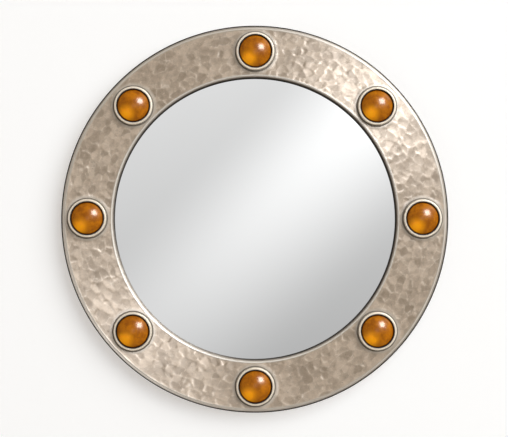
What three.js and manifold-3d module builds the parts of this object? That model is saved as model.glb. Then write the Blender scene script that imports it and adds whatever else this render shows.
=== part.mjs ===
// Round wall mirror. A hammered metal sheet is drawn over a wooden backing ring; eight domed
// glass cabochons stand on it in raised bezels, and a flat mirror lies behind its bevelled lip.
//
// Millimetres, +Z up. The face looks along -Y and the wall is on the +Y side. The origin is
// the centre of the back board's rear face. A depth is a distance in front of that face, so a
// point at depth d lies at y = -d. Left and right are as seen from the front.

import * as THREE from 'three';
import { mergeVertices } from 'three/addons/utils/BufferGeometryUtils.js';
import Module from 'manifold-3d';

const wasm = await Module();
wasm.setup();

// ---------------------------------------------------------------- driving dimensions

const fitGap = 0.3;               // between two pieces that lie against each other

// The ring, seen from the front.
const outerRadius = 250;
const sightRadius = 182;          // edge of the mirror that shows
const lipWidth = 4.6;             // the bevel between the face and the lip's wall, at 45 degrees
const edgeRound = 3;              // where the face turns into the skirt

// The metal sheet.
const sheetThickness = 1.2;
const hemWidth = 9;               // folded in behind the backing ring
const hemRound = 2;

// The backing ring, and what lies in its rebate.
const ringThickness = 18;
const boardThickness = 3;
const packingThickness = 3.4;
const glassThickness = 4;
const glassCover = 4;             // how far the glass runs on behind the lip
const rebateClearance = 1;        // all round the glass

// Cabochons: four on the axes and four between them.
const axisPitchOffset = -0.8;      // outwards from the middle of the flat face
const diagonalPitchOffset = -2.8;
const diagonalAngle = 42.7;       // above or below the horizontal, in degrees
const cabochonRadius = 20.5;
const cabochonDomeRadius = 30;
const cabochonBand = 1.8;         // height of its straight side
const cabochonChamfer = 0.5;

// Bezels: turned cups with a boss underneath.
const bezelGap = 0.9;             // dark gap between glass and cup
const bezelRimWidth = 3.3;
const bezelRimRound = 1.2;
const bezelHeight = 5.5;          // above the face
const bezelFootSpread = 1.8;      // how far the foot stands out past the rim
const bezelFootHeight = 0.9;
const bezelFloor = 1.5;
const bossRadius = 6;
const bossLength = 7.5;
const bossTapDepth = 6.5;

// Screws. A length is measured under the head.
const bezelScrew = { headRadius: 4, headHeight: 2.4, shankRadius: 2, length: 10, tip: 0.6 };
const buttonScrew = { headRadius: 3.2, headHeight: 1.8, shankRadius: 1.5, length: 12, tip: 3 };
const hangerScrew = { headRadius: 3.4, headHeight: 1.8, shankRadius: 1.6, length: 14, tip: 3 };
const counterboreDepth = 5;

// Turn buttons.
const buttonCount = 6;
const buttonThickness = 1.5;
const buttonPivotInset = 9;       // from the rebate's edge to the pivot
const buttonReach = 16;           // from the pivot to the centre of the nose
const buttonHeadRadius = 5.5;
const buttonNoseRadius = 4.2;

// D-ring hangers.
const hangerInset = 14;           // sideways, from the middle of the backing ring's width
const hangerHeight = 90;          // of the ring's bar, above the centre
const strapWidth = 14;
const strapLength = 32;
const strapThickness = 1;
const strapScrewPlaces = [10, 23]; // below the bar
const ringWireRadius = 1.25;
const ringWidth = 22;             // between the middles of its two legs
const ringLeg = 5;                // straight part of each leg

// Wall bumpers.
const bumperRadius = 7;
const bumperChamfer = 1;
const bumperInset = 12;           // from the hem's edge to the bumper's middle
const bumperAngle = 25;           // from straight down, to either side, in degrees

// Facets.
const ringFacets = 60;
const bezelFacets = 20;
const screwFacets = 8;
const holeFacets = 10;
const plateFacets = 10;           // on each round stretch of a plate's outline
const wireFacets = 8;
const hoopFacets = 16;
const roundSteps = 3;
const smallRoundSteps = 2;
const domeSteps = 5;

// ---------------------------------------------------------------- worked-out places

const packingFront = boardThickness + fitGap + packingThickness;
const glassFront = packingFront + fitGap + glassThickness;
const ledgeDepth = glassFront + fitGap;
const faceDepth = ringThickness + fitGap + sheetThickness;
const glassRadius = sightRadius + glassCover;
const rebateRadius = glassRadius + rebateClearance;
const boardRadius = rebateRadius - fitGap;
const hemInnerRadius = outerRadius - hemWidth;

const flatMiddle = (sightRadius + lipWidth + outerRadius - edgeRound) / 2;
const axisPitchRadius = flatMiddle + axisPitchOffset;
const diagonalPitchRadius = flatMiddle + diagonalPitchOffset;
const hangerOut = (rebateRadius + hemInnerRadius) / 2 - hangerInset;
const bumperPlaceRadius = hemInnerRadius - bumperInset;

const boreRadius = cabochonRadius + bezelGap;
const rimRadius = boreRadius + bezelRimWidth;
const footRadius = rimRadius + bezelFootSpread;

const buttonPivotRadius = rebateRadius + buttonPivotInset;
const ringBoreRadius = holeRadiusFor(ringWireRadius, plateFacets);
const knuckleRadius = ringBoreRadius + strapThickness;
const barBehind = fitGap + knuckleRadius;
const wallBehind = barBehind + knuckleRadius;

// ---------------------------------------------------------------- finishes

const finishes = {
  hammeredMetal: { color: 0xb9ab9b, roughness: 0.42, metalness: 1 },
  bezelMetal: { color: 0xc8bdaf, roughness: 0.35, metalness: 1 },
  amberGlass: { color: 0xb3640f, roughness: 0.08, metalness: 0 },
  mirror: { color: 0xe8e8e8, roughness: 0.03, metalness: 1 },
  fibreboard: { color: 0x9c7d58, roughness: 0.85, metalness: 0 },
  foam: { color: 0xdedcd6, roughness: 0.9, metalness: 0 },
  hardboard: { color: 0x6e4c32, roughness: 0.75, metalness: 0 },
  platedSteel: { color: 0xbcbcc0, roughness: 0.3, metalness: 1 },
  rubber: { color: 0x2b2b2b, roughness: 0.8, metalness: 0 },
};
const materials = Object.fromEntries(
  Object.entries(finishes).map(([name, finish]) => [name, new THREE.MeshStandardMaterial(finish)]),
);

// ---------------------------------------------------------------- shape helpers

const radians = THREE.MathUtils.degToRad;

// Radius of a faceted hole whose flats stand the fit gap clear of a shaft.
function holeRadiusFor(shaftRadius, facets = holeFacets) {
  return (shaftRadius + fitGap) / Math.cos(Math.PI / facets);
}

// A shape drawn in x and y is stood up: its y becomes up, and it is extruded towards -Y.
const facingBack = new THREE.Matrix4().makeRotationX(radians(90));
// A side view drawn as (behind, up) is extruded to the right.
const sideView = new THREE.Matrix4().makeBasis(
  new THREE.Vector3(0, 1, 0),
  new THREE.Vector3(0, 0, 1),
  new THREE.Vector3(1, 0, 0),
);

// Points of a quarter round in (radius, depth), between two angles in degrees.
function arc(centreRadius, centreDepth, radius, from, to, steps) {
  const points = [];
  for (let step = 0; step <= steps; step++) {
    const angle = radians(from + ((to - from) * step) / steps);
    points.push([centreRadius + radius * Math.cos(angle), centreDepth + radius * Math.sin(angle)]);
  }
  return points;
}

// Turns a closed outline of (radius, depth) points round the front-to-back axis. An outline
// that starts and ends on the axis gives a solid body.
function turned(outline, facets) {
  const points = outline.map(([radius, depth]) => new THREE.Vector2(radius, -depth));
  if (THREE.ShapeUtils.area(points) < 0) points.reverse();
  const touchesAxis = points[0].x === 0 && points[points.length - 1].x === 0;
  if (!touchesAxis) points.push(points[0].clone());
  return welded(new THREE.LatheGeometry(points, facets));
}

// Keeps only the positions, joins equal vertices and drops triangles with no area.
function welded(geometry) {
  const bare = new THREE.BufferGeometry();
  bare.setAttribute('position', geometry.getAttribute('position'));
  bare.setIndex(geometry.getIndex());
  const merged = mergeVertices(bare, 1e-4);
  const index = merged.getIndex().array;
  const kept = [];
  for (let corner = 0; corner < index.length; corner += 3) {
    const [a, b, c] = index.slice(corner, corner + 3);
    if (a !== b && b !== c && c !== a) kept.push(a, b, c);
  }
  merged.setIndex(kept);
  return merged;
}

function toSolid(geometry) {
  const body = welded(geometry);
  return new wasm.Manifold(new wasm.Mesh({
    numProp: 3,
    vertProperties: new Float32Array(body.getAttribute('position').array),
    triVerts: new Uint32Array(body.getIndex().array),
  }));
}

function toGeometry(solid) {
  const mesh = solid.getMesh();
  const geometry = new THREE.BufferGeometry();
  geometry.setAttribute('position', new THREE.BufferAttribute(mesh.vertProperties, mesh.numProp));
  geometry.setIndex(new THREE.BufferAttribute(mesh.triVerts, 1));
  return geometry;
}

function cut(geometry, cutters) {
  let solid = toSolid(geometry);
  for (const cutter of cutters) solid = solid.subtract(toSolid(cutter));
  return toGeometry(solid);
}

function joined(geometries) {
  return toGeometry(geometries.map(toSolid).reduce((whole, next) => whole.add(next)));
}

// A round rod along the front-to-back axis, between two depths.
function rod(radius, fromDepth, toDepth, facets) {
  return turned([[0, fromDepth], [radius, fromDepth], [radius, toDepth], [0, toDepth]], facets);
}

function extruded(shape, thickness, placing) {
  const geometry = new THREE.ExtrudeGeometry(shape, {
    depth: thickness,
    bevelEnabled: false,
    curveSegments: plateFacets / 2,
  });
  return geometry.applyMatrix4(placing);
}

function roundHole(x, y, radius) {
  const hole = new THREE.Path();
  hole.absarc(x, y, radius, 0, 2 * Math.PI, true);
  return hole;
}

// Place on the ring, from an angle measured from the right towards the top.
function onRing(radius, degrees) {
  return { x: radius * Math.cos(radians(degrees)), z: radius * Math.sin(radians(degrees)) };
}

// ---------------------------------------------------------------- the ring and the glass

// Where the 45 degree bevel, moved back into the ring by an offset, has a given depth.
function bevelRadiusAt(depth, offset) {
  return sightRadius + lipWidth - faceDepth + depth + offset * Math.SQRT2;
}

function bevelDepthAt(radius, offset) {
  return radius - bevelRadiusAt(0, offset);
}

function frameFace() {
  const under = sheetThickness;
  const lipRear = sightRadius + under;
  const sheetUnderside = faceDepth - under;
  const outline = [
    [sightRadius, ledgeDepth],
    [sightRadius, bevelDepthAt(sightRadius, 0)],
    [bevelRadiusAt(faceDepth, 0), faceDepth],
    ...arc(outerRadius - edgeRound, faceDepth - edgeRound, edgeRound, 90, 0, roundSteps),
    ...arc(outerRadius - hemRound, hemRound, hemRound, 0, -90, smallRoundSteps),
    [hemInnerRadius, 0],
    [hemInnerRadius, under],
    ...arc(outerRadius - hemRound, hemRound, hemRound - under, -90, 0, smallRoundSteps),
    ...arc(outerRadius - edgeRound, faceDepth - edgeRound, edgeRound - under, 0, 90, roundSteps),
    [bevelRadiusAt(sheetUnderside, under), sheetUnderside],
    [lipRear, bevelDepthAt(lipRear, under)],
    [lipRear, ledgeDepth],
  ];
  const bossHole = rod(holeRadiusFor(bossRadius), sheetUnderside - under, faceDepth + under, holeFacets);
  return cut(turned(outline, ringFacets), cabochonPlaces.map((place) => movedTo(bossHole, place)));
}

function movedTo(geometry, { x, z }) {
  return geometry.clone().translate(x, 0, z);
}

// Stepped hole behind each bezel: the screw head's counterbore, its shank, the bezel's boss.
function bezelScrewHole() {
  const headHole = holeRadiusFor(bezelScrew.headRadius);
  const shankHole = holeRadiusFor(bezelScrew.shankRadius);
  const bossHole = holeRadiusFor(bossRadius);
  const socketFloor = faceDepth - bossLength - fitGap;
  const beyond = ringThickness + fitGap;
  return turned([
    [0, -fitGap],
    [headHole, -fitGap],
    [headHole, counterboreDepth],
    [shankHole, counterboreDepth],
    [shankHole, socketFloor],
    [bossHole, socketFloor],
    [bossHole, beyond],
    [0, beyond],
  ], holeFacets);
}

// Blind hole for a wood screw whose head bears on something in front of the ring's back.
function woodScrewHole(screw, seat) {
  return rod(holeRadiusFor(screw.shankRadius), -fitGap, seat + screw.length + fitGap, holeFacets);
}

function backingRing() {
  const inset = sheetThickness + fitGap;
  const ledgeRadius = sightRadius + inset;
  const hemStep = hemInnerRadius - fitGap;
  const outline = [
    [ledgeRadius, ledgeDepth],
    [ledgeRadius, bevelDepthAt(ledgeRadius, inset)],
    [bevelRadiusAt(ringThickness, inset), ringThickness],
    ...arc(outerRadius - edgeRound, faceDepth - edgeRound, edgeRound - inset, 90, 0, roundSteps),
    ...arc(outerRadius - hemRound, hemRound, hemRound - inset, 0, -90, smallRoundSteps),
    [hemStep, inset],
    [hemStep, 0],
    [rebateRadius, 0],
    [rebateRadius, ledgeDepth],
  ];
  return cut(turned(outline, ringFacets), [
    ...cabochonPlaces.map((place) => movedTo(bezelScrewHole(), place)),
    ...buttonPlaces.map((place) => movedTo(woodScrewHole(buttonScrew, buttonSeat), place)),
    ...hangerScrewPlaces.map((place) => movedTo(woodScrewHole(hangerScrew, hangerSeat), place)),
  ]);
}

function disc(radius, fromDepth, thickness) {
  return rod(radius, fromDepth, fromDepth + thickness, ringFacets);
}

// ---------------------------------------------------------------- cabochons and bezels

function cabochon() {
  const base = faceDepth + fitGap + bezelFloor + fitGap;
  const girdle = base + cabochonBand;
  const centre = girdle - Math.sqrt(cabochonDomeRadius ** 2 - cabochonRadius ** 2);
  const girdleAngle = THREE.MathUtils.radToDeg(Math.acos(cabochonRadius / cabochonDomeRadius));
  const dome = arc(0, centre, cabochonDomeRadius, girdleAngle, 90, domeSteps);
  dome[dome.length - 1][0] = 0;
  return turned([
    [0, base],
    [cabochonRadius - cabochonChamfer, base],
    [cabochonRadius, base + cabochonChamfer],
    ...dome,
  ], bezelFacets);
}

function bezel() {
  const under = faceDepth + fitGap;
  const top = faceDepth + bezelHeight;
  const bossEnd = faceDepth - bossLength;
  const tapRadius = holeRadiusFor(bezelScrew.shankRadius, bezelFacets);
  const round = bezelRimRound;
  return turned([
    [0, bossEnd + bossTapDepth],
    [tapRadius, bossEnd + bossTapDepth],
    [tapRadius, bossEnd],
    [bossRadius, bossEnd],
    [bossRadius, under],
    [footRadius, under],
    [footRadius, under + bezelFootHeight],
    ...arc(rimRadius - round, top - round, round, 0, 90, smallRoundSteps),
    ...arc(boreRadius + round, top - round, round, 90, 180, smallRoundSteps),
    [boreRadius, under + bezelFloor],
    [0, under + bezelFloor],
  ], bezelFacets);
}

// ---------------------------------------------------------------- fasteners and hardware

// A screw driven in from behind: its head bears at the seat depth, and its shank runs forward.
function screw({ headRadius, headHeight, shankRadius, length, tip }, seat) {
  const headTop = seat - headHeight;
  const shankEnd = seat + length;
  return turned([
    [0, headTop],
    [headRadius / 2, headTop],
    [headRadius, seat - headHeight / 2],
    [headRadius, seat],
    [shankRadius, seat],
    [shankRadius, shankEnd - tip],
    [0, shankEnd],
  ], screwFacets);
}

// A flat bar with two round ends, pivoting at the wider one. Its nose points along +X.
function turnButton() {
  const spread = Math.acos((buttonHeadRadius - buttonNoseRadius) / buttonReach);
  const shape = new THREE.Shape();
  shape.absarc(0, 0, buttonHeadRadius, spread, 2 * Math.PI - spread, false);
  shape.absarc(buttonReach, 0, buttonNoseRadius, -spread, spread, false);
  shape.holes.push(roundHole(0, 0, holeRadiusFor(buttonScrew.shankRadius, plateFacets)));
  const bar = extruded(shape, buttonThickness, facingBack);
  return bar.translate(0, fitGap + buttonThickness, 0);
}

// A plate whose upper end is rolled into a knuckle round the ring's bar.
function hangerStrap() {
  const foot = hangerHeight - strapLength;
  const front = fitGap;
  const rear = fitGap + strapThickness;
  const meeting = Math.acos((rear - barBehind) / knuckleRadius);
  const side = new THREE.Shape();
  side.moveTo(rear, foot);
  side.absarc(barBehind, hangerHeight, knuckleRadius, -meeting, Math.PI, false);
  side.lineTo(front, foot);
  side.closePath();
  side.holes.push(roundHole(barBehind, hangerHeight, ringBoreRadius));
  const strap = extruded(side, strapWidth, sideView).translate(-strapWidth / 2, 0, 0);
  const screwHole = rod(holeRadiusFor(hangerScrew.shankRadius), -rear - fitGap, fitGap, holeFacets);
  const holes = strapScrewPlaces.map((below) => (
    movedTo(screwHole, { x: 0, z: hangerHeight - below })
  ));
  return cut(strap, holes);
}

// A wire D: a straight bar in the knuckle, two legs and a half circle, standing up.
function hangerRing() {
  const half = ringWidth / 2;
  const wire = (length) => new THREE.CylinderGeometry(
    ringWireRadius, ringWireRadius, length, wireFacets,
  );
  const bar = wire(ringWidth).rotateZ(radians(90));
  const legs = [-half, half].map((x) => wire(ringLeg).rotateX(radians(90)).translate(x, 0, ringLeg / 2));
  const corners = [-half, half].map((x) => (
    new THREE.SphereGeometry(ringWireRadius, wireFacets, wireFacets / 2).translate(x, 0, 0)
  ));
  const hoop = new THREE.TorusGeometry(half, ringWireRadius, wireFacets, hoopFacets);
  const below = new THREE.BoxGeometry(2 * ringWidth, ringWidth, ringWidth).translate(0, 0, -half);
  const bow = cut(hoop.rotateX(radians(90)), [below]).translate(0, 0, ringLeg);
  return joined([bar, ...legs, ...corners, bow]).translate(0, barBehind, hangerHeight);
}

function wallBumper() {
  return turned([
    [0, -wallBehind],
    [bumperRadius - bumperChamfer, -wallBehind],
    [bumperRadius, bumperChamfer - wallBehind],
    [bumperRadius, -fitGap],
    [0, -fitGap],
  ], bezelFacets);
}

// ---------------------------------------------------------------- places of what repeats

// Clockwise from the top, a cabochon on an axis and then the one between it and the next.
const quarters = [
  { axis: [0, 1], diagonal: [1, 1] },
  { axis: [1, 0], diagonal: [1, -1] },
  { axis: [0, -1], diagonal: [-1, -1] },
  { axis: [-1, 0], diagonal: [-1, 1] },
];
const cabochonPlaces = quarters.flatMap(({ axis, diagonal }) => {
  const between = onRing(diagonalPitchRadius, diagonalAngle);
  return [
    { x: axis[0] * axisPitchRadius, z: axis[1] * axisPitchRadius },
    { x: diagonal[0] * between.x, z: diagonal[1] * between.z },
  ];
});

const buttonAngles = Array.from({ length: buttonCount }, (_, index) => (360 * index) / buttonCount);
const buttonPlaces = buttonAngles.map((angle) => onRing(buttonPivotRadius, angle));
const buttonSeat = -(fitGap + buttonThickness + fitGap);

const sides = [
  { name: 'left', sign: -1 },
  { name: 'right', sign: 1 },
];
const hangerSeat = -(fitGap + strapThickness + fitGap);
const hangerScrewPlaces = sides.flatMap(({ sign }) => strapScrewPlaces.map((below) => (
  { x: sign * hangerOut, z: hangerHeight - below }
)));

// ---------------------------------------------------------------- assembly

const mirror = new THREE.Group();
mirror.name = 'round_wall_mirror';

function addPiece(name, geometry, material, place = { x: 0, z: 0 }, turn = 0) {
  const mesh = new THREE.Mesh(geometry, material);
  mesh.name = name;
  mesh.position.set(place.x, 0, place.z);
  mesh.rotation.y = turn;
  mirror.add(mesh);
}

addPiece('frame_face', frameFace(), materials.hammeredMetal);
addPiece('backing_ring', backingRing(), materials.fibreboard);
addPiece('mirror_glass', disc(glassRadius, packingFront + fitGap, glassThickness), materials.mirror);
addPiece('packing_sheet', disc(boardRadius, boardThickness + fitGap, packingThickness), materials.foam);
addPiece('back_board', disc(boardRadius, 0, boardThickness), materials.hardboard);

cabochonPlaces.forEach((place, index) => {
  const number = index + 1;
  addPiece(`bezel_${number}`, bezel(), materials.bezelMetal, place);
  addPiece(`cabochon_${number}`, cabochon(), materials.amberGlass, place);
  addPiece(`bezel_screw_${number}`, screw(bezelScrew, counterboreDepth - fitGap),
    materials.platedSteel, place);
});

buttonPlaces.forEach((place, index) => {
  const number = index + 1;
  // Half a turn more than its place on the ring, so that the nose points to the centre.
  const turn = radians(180 - buttonAngles[index]);
  addPiece(`turn_button_${number}`, turnButton(), materials.platedSteel, place, turn);
  addPiece(`turn_button_screw_${number}`, screw(buttonScrew, buttonSeat),
    materials.platedSteel, place);
});

for (const { name, sign } of sides) {
  const place = { x: sign * hangerOut, z: 0 };
  addPiece(`hanger_strap_${name}`, hangerStrap(), materials.platedSteel, place);
  addPiece(`hanger_ring_${name}`, hangerRing(), materials.platedSteel, place);
  const bumperPlace = onRing(bumperPlaceRadius, 270 + sign * bumperAngle);
  addPiece(`wall_bumper_${name}`, wallBumper(), materials.rubber, bumperPlace);
}

hangerScrewPlaces.forEach((place, index) => {
  addPiece(`hanger_screw_${index + 1}`, screw(hangerScrew, hangerSeat), materials.platedSteel, place);
});

export default mirror;
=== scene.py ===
# Round wall mirror: the finished look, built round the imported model.
#
# Metres, +Z up. The face looks along -Y and the wall is on the +Y side. A depth is a distance
# in front of the back board's rear face, so a point at depth d lies at y = -d. A place on the
# mirror is (x, z), and left and right are as seen from the front.

import math

import bmesh
import bpy
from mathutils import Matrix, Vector

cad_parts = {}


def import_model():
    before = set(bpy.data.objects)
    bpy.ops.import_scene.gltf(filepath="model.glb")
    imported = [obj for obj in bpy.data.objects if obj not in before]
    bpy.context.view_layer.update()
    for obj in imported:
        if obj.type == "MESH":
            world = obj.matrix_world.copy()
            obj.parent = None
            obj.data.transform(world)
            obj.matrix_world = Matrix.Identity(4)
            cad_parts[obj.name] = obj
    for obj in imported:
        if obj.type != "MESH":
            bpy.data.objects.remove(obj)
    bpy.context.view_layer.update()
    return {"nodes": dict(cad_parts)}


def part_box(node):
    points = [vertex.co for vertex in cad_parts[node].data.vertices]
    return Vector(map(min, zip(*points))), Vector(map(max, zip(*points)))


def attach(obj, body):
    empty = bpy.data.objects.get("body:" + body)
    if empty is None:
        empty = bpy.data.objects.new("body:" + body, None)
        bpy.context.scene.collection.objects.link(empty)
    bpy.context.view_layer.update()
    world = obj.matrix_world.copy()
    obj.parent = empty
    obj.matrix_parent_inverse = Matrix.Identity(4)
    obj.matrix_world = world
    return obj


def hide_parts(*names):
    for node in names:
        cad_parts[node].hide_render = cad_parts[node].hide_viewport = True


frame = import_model()

MM = 0.001
TINY = 1e-6

# ---------------------------------------------------------------- sizes taken from the model


def node_place(node):
    """(x, z) of the middle of a node."""
    low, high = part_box(node)
    middle = (low + high) / 2
    return middle.x, middle.z


def node_radius(node):
    """Half the width of a round node."""
    low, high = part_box(node)
    return (high.x - low.x) / 2


def node_depths(node):
    """(rear depth, front depth) of a node."""
    low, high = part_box(node)
    return -high.y, -low.y


def numbered(stem):
    """The nodes called stem_1, stem_2 and so on, in that order."""
    found = [name for name in frame["nodes"] if name.rpartition("_")[0] == stem]
    return sorted(
        (name for name in found if name.rpartition("_")[2].isdigit()),
        key=lambda name: int(name.rpartition("_")[2]),
    )


GLASS_GAP = 0.3 * MM               # between the glass and the lip's foot
OUTER_RADIUS = node_radius("frame_face")
FACE_DEPTH = node_depths("frame_face")[1]
LEDGE_DEPTH = node_depths("mirror_glass")[1] + GLASS_GAP
GLASS_RADIUS = node_radius("mirror_glass")
BUMPER_REAR = -node_depths("wall_bumper_left")[0]

# ---------------------------------------------------------------- sizes of the finished shapes

GLASS_COVER = 4.5 * MM             # how far the lip reaches in over the glass
SIGHT_RADIUS = GLASS_RADIUS - GLASS_COVER
LIP_WIDTH = 3.8 * MM
LIP_STEEP = 2.0 * MM               # the lip's inner part, which falls away steeply
LIP_SHALLOW_DROP = 1.5 * MM        # how far its outer part falls before that
LIP_TOE = 1.2 * MM                 # upright part above the glass
LIP_CREST_CORNER = 0.8 * MM
LIP_BEND_CORNER = 0.7 * MM
LIP_TOE_CORNER = 0.6 * MM
EDGE_ROUND = 1.8 * MM
FLANGE_WIDTH = 1.8 * MM            # narrow flange outside the beaten face
FLANGE_STEP = 1.3 * MM             # sloping step from the face down to it, and its drop
FLANGE_DROP = 0.9 * MM
FLANGE_CORNER = FLANGE_STEP / 4
FLAT_CORNER = FLANGE_STEP / 3
SHEET_THICKNESS = 1.2 * MM
HEM_WIDTH = 9 * MM
HEM_ROUND = 2 * MM
HEM_CORNER = 0.4 * MM
RING_SEGMENTS = 900
FLAT_STEP = 1.2 * MM               # between the rings of points on the flat face

# The sheet's section, as radii and depths, from the hem inwards to the lip.
HEM_EDGE = OUTER_RADIUS - HEM_WIDTH
HEM_CENTRE = (OUTER_RADIUS - HEM_ROUND, HEM_ROUND)
FLANGE_DEPTH = FACE_DEPTH - FLANGE_DROP
EDGE_CENTRE = (OUTER_RADIUS - EDGE_ROUND, FLANGE_DEPTH - EDGE_ROUND)
FLANGE_START = EDGE_CENTRE[0] - FLANGE_WIDTH
FLAT_START = FLANGE_START - FLANGE_STEP
FLAT_END = SIGHT_RADIUS + LIP_WIDTH

MARK_SIZE = 12 * MM                # length of a hammer mark, along the ring
MARK_STRETCH = 1.35                # length of a mark against its width
MARK_DEPTH = 0.34 * MM
MARK_LEAN = 0.09                   # slope that one mark may have against the next
MARK_PATTERN = (0.31, 0.17, 0.05)  # which marks of the endless pattern fall on this ring
SWELL_SIZE = 46 * MM               # broad unevenness under the marks
SWELL_DEPTH = 0.25 * MM

# ---------------------------------------------------------------- camera and light

IMAGE_WIDTH = 508                  # pixels
IMAGE_HEIGHT = 437
SCALE = 1.2895 * MM                # per pixel, at the depth of the face
CENTRE_PIXEL = (255.3, 218.4)      # of the mirror's centre
CAMERA_DISTANCE = 1.6
CAMERA_SIDE = -1.0                 # degrees off the mirror's axis, to the right and upwards
CAMERA_RISE = -1.4
CAMERA_REACH = (0.05, 50.0)        # nearest and farthest that it sees
SENSOR_WIDTH = 36.0                # millimetres, as Blender gives it

# The key's light is broad, for the long soft shadow; the shine that metal and glass get of it
# comes from a smaller panel at its middle. Each lamp's direction is in degrees off the axis,
# then round it from the right.
KEY_DIRECTION = (43.5, 36.0)
KEY_DISTANCE = 6.0
KEY_SIZE = 5.7
KEY_POWER = 400
KEY_TINT = (0.93, 0.985, 1.03)
SHINE_DIRECTION = (42.0, 45.0)
SHINE_SIZE = 2.5
SHINE_POWER = 310
SHINE_TINT = (0.91, 0.96, 1.03)
FILL_DIRECTION = (36.0, 214.0)
FILL_DISTANCE = 5.0
FILL_SIZE = 3.0
FILL_POWER = 22
REAR_DIRECTIONS = ((140.0, 50.0), (132.0, 160.0))
REAR_DISTANCE = 5.0
REAR_SIZE = 3.0
REAR_POWER = 110
WHITE = (1.0, 1.0, 1.0)
AMBIENT = (0.20, 0.175, 0.15)

WALL_GAP = 0.3 * MM                # behind the bumpers
FLOOR_DROP = 0.3                   # below the mirror's lower edge
STAGE_REACH = 2.5
WALL_LIFT = 0.43                   # towards white, for the camera alone
FLOOR_LIFT = 0.45


def off_axis(tilt, turn):
    """The direction that leans tilt degrees off the mirror's axis, turn degrees round from +X."""
    lean, around = math.radians(tilt), math.radians(turn)
    return Vector((
        math.sin(lean) * math.cos(around),
        -math.cos(lean),
        math.sin(lean) * math.sin(around),
    ))


def face_point(x, z):
    """A point in the plane of the face."""
    return Vector((x, -FACE_DEPTH, z))


# ---------------------------------------------------------------- node trees


def feed(tree, socket, value):
    """Links an output to the socket, or sets the socket's own value."""
    if isinstance(value, bpy.types.NodeSocket):
        tree.links.new(value, socket)
    else:
        socket.default_value = value


def feed_all(tree, node, values):
    """Feeds several sockets of a node, by name or number."""
    for socket, value in values.items():
        feed(tree, node.inputs[socket], value)


def add(tree, kind, inputs=None, **settings):
    """A new node with its settings and what goes into its sockets."""
    node = tree.nodes.new(kind)
    for setting, value in settings.items():
        setattr(node, setting, value)
    feed_all(tree, node, inputs or {})
    return node


def calc(tree, operation, *values, clamp=False):
    """One Math node."""
    inputs = dict(enumerate(values))
    return add(tree, "ShaderNodeMath", inputs, operation=operation, use_clamp=clamp).outputs[0]


def vector_calc(tree, operation, *values):
    """One Vector Math node that gives a vector."""
    inputs = dict(enumerate(values))
    return add(tree, "ShaderNodeVectorMath", inputs, operation=operation).outputs[0]


def dot(tree, first, second):
    """The dot product of two vectors."""
    inputs = {0: first, 1: second}
    return add(tree, "ShaderNodeVectorMath", inputs, operation="DOT_PRODUCT").outputs["Value"]


def split_vector(tree, vector):
    """The X, Y and Z outputs of a vector."""
    return add(tree, "ShaderNodeSeparateXYZ", {0: vector}).outputs


def join_vector(tree, **parts):
    """A vector from its X, Y and Z."""
    return add(tree, "ShaderNodeCombineXYZ", parts).outputs[0]


def length_of(tree, across, up):
    """The length of the side opposite a right angle between across and up."""
    squares = calc(tree, "MULTIPLY_ADD", across, across, calc(tree, "POWER", up, 2.0))
    return calc(tree, "SQRT", squares)


def remap(tree, value, start, end, low=0.0, high=1.0, smooth=True):
    """The value carried from start..end to low..high, and held there outside."""
    inputs = {"Value": value, "From Min": start, "From Max": end, "To Min": low, "To Max": high}
    style = "SMOOTHSTEP" if smooth else "LINEAR"
    return add(tree, "ShaderNodeMapRange", inputs, interpolation_type=style).outputs[0]


def mix_colour(tree, factor, first, second, style="MIX"):
    """One colour Mix node."""
    inputs = {0: factor, 6: first, 7: second}
    node = add(tree, "ShaderNodeMix", inputs, data_type="RGBA", blend_type=style)
    return node.outputs[2]


def noise(tree, vector, scale, detail=2.0, roughness=0.5):
    """The value of a Noise Texture."""
    inputs = {"Vector": vector, "Scale": scale, "Detail": detail, "Roughness": roughness}
    return add(tree, "ShaderNodeTexNoise", inputs).outputs[0]


def cells(tree, vector, scale, smoothness=None, feature="F1"):
    """The outputs of a Voronoi Texture."""
    inputs = {"Vector": vector, "Scale": scale}
    if smoothness is not None:
        inputs["Smoothness"] = smoothness
    return add(tree, "ShaderNodeTexVoronoi", inputs, feature=feature).outputs


def new_group(name, kind, takes, gives):
    """An empty node group with named sockets, and its input and output nodes."""
    tree = bpy.data.node_groups.new(name, kind)
    for in_out, sockets in (("INPUT", takes), ("OUTPUT", gives)):
        for label, sort in sockets.items():
            tree.interface.new_socket(name=label, in_out=in_out, socket_type=f"NodeSocket{sort}")
    start = tree.nodes.new("NodeGroupInput").outputs
    end = tree.nodes.new("NodeGroupOutput").inputs
    return tree, start, end


def use_group(tree, group, inputs):
    """The outputs of a shared group placed in a material."""
    return add(tree, "ShaderNodeGroup", inputs, node_tree=group).outputs


def colour(red, green, blue):
    """A colour socket's value."""
    return (red, green, blue, 1.0)


# ---------------------------------------------------------------- shared surface effects

# Here and in the materials a noise is (scale, detail, roughness) with its scale per metre, or
# (detail, roughness) where the scale is given. A grain is (scale, depth of its pits). A span is
# (start, end) or (start, end, low, high) of what is remapped.
PATCH_NOISE = (4.0, 0.6)
GRAIN_NOISE = (3.0, 0.7)
PIT_COARSENESS = 0.35              # scale of the pits against the grain's
PIT_EDGE_SPAN = (0.2, 0.06)
PIT_AREAS = 60.0                   # scale of the areas that have pits
PIT_AREA_SPAN = (0.52, 0.62)
TURNED_NOISE = (1.6, 4.0, 0.65)
SCRATCH_NOISE = (2.0, 0.4)
SCRATCH_WIDTH_SPAN = (0.012, 0.0)
SCRATCH_AREAS = 45.0
SCRATCH_AREA_SPAN = (0.5, 0.62)


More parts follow.
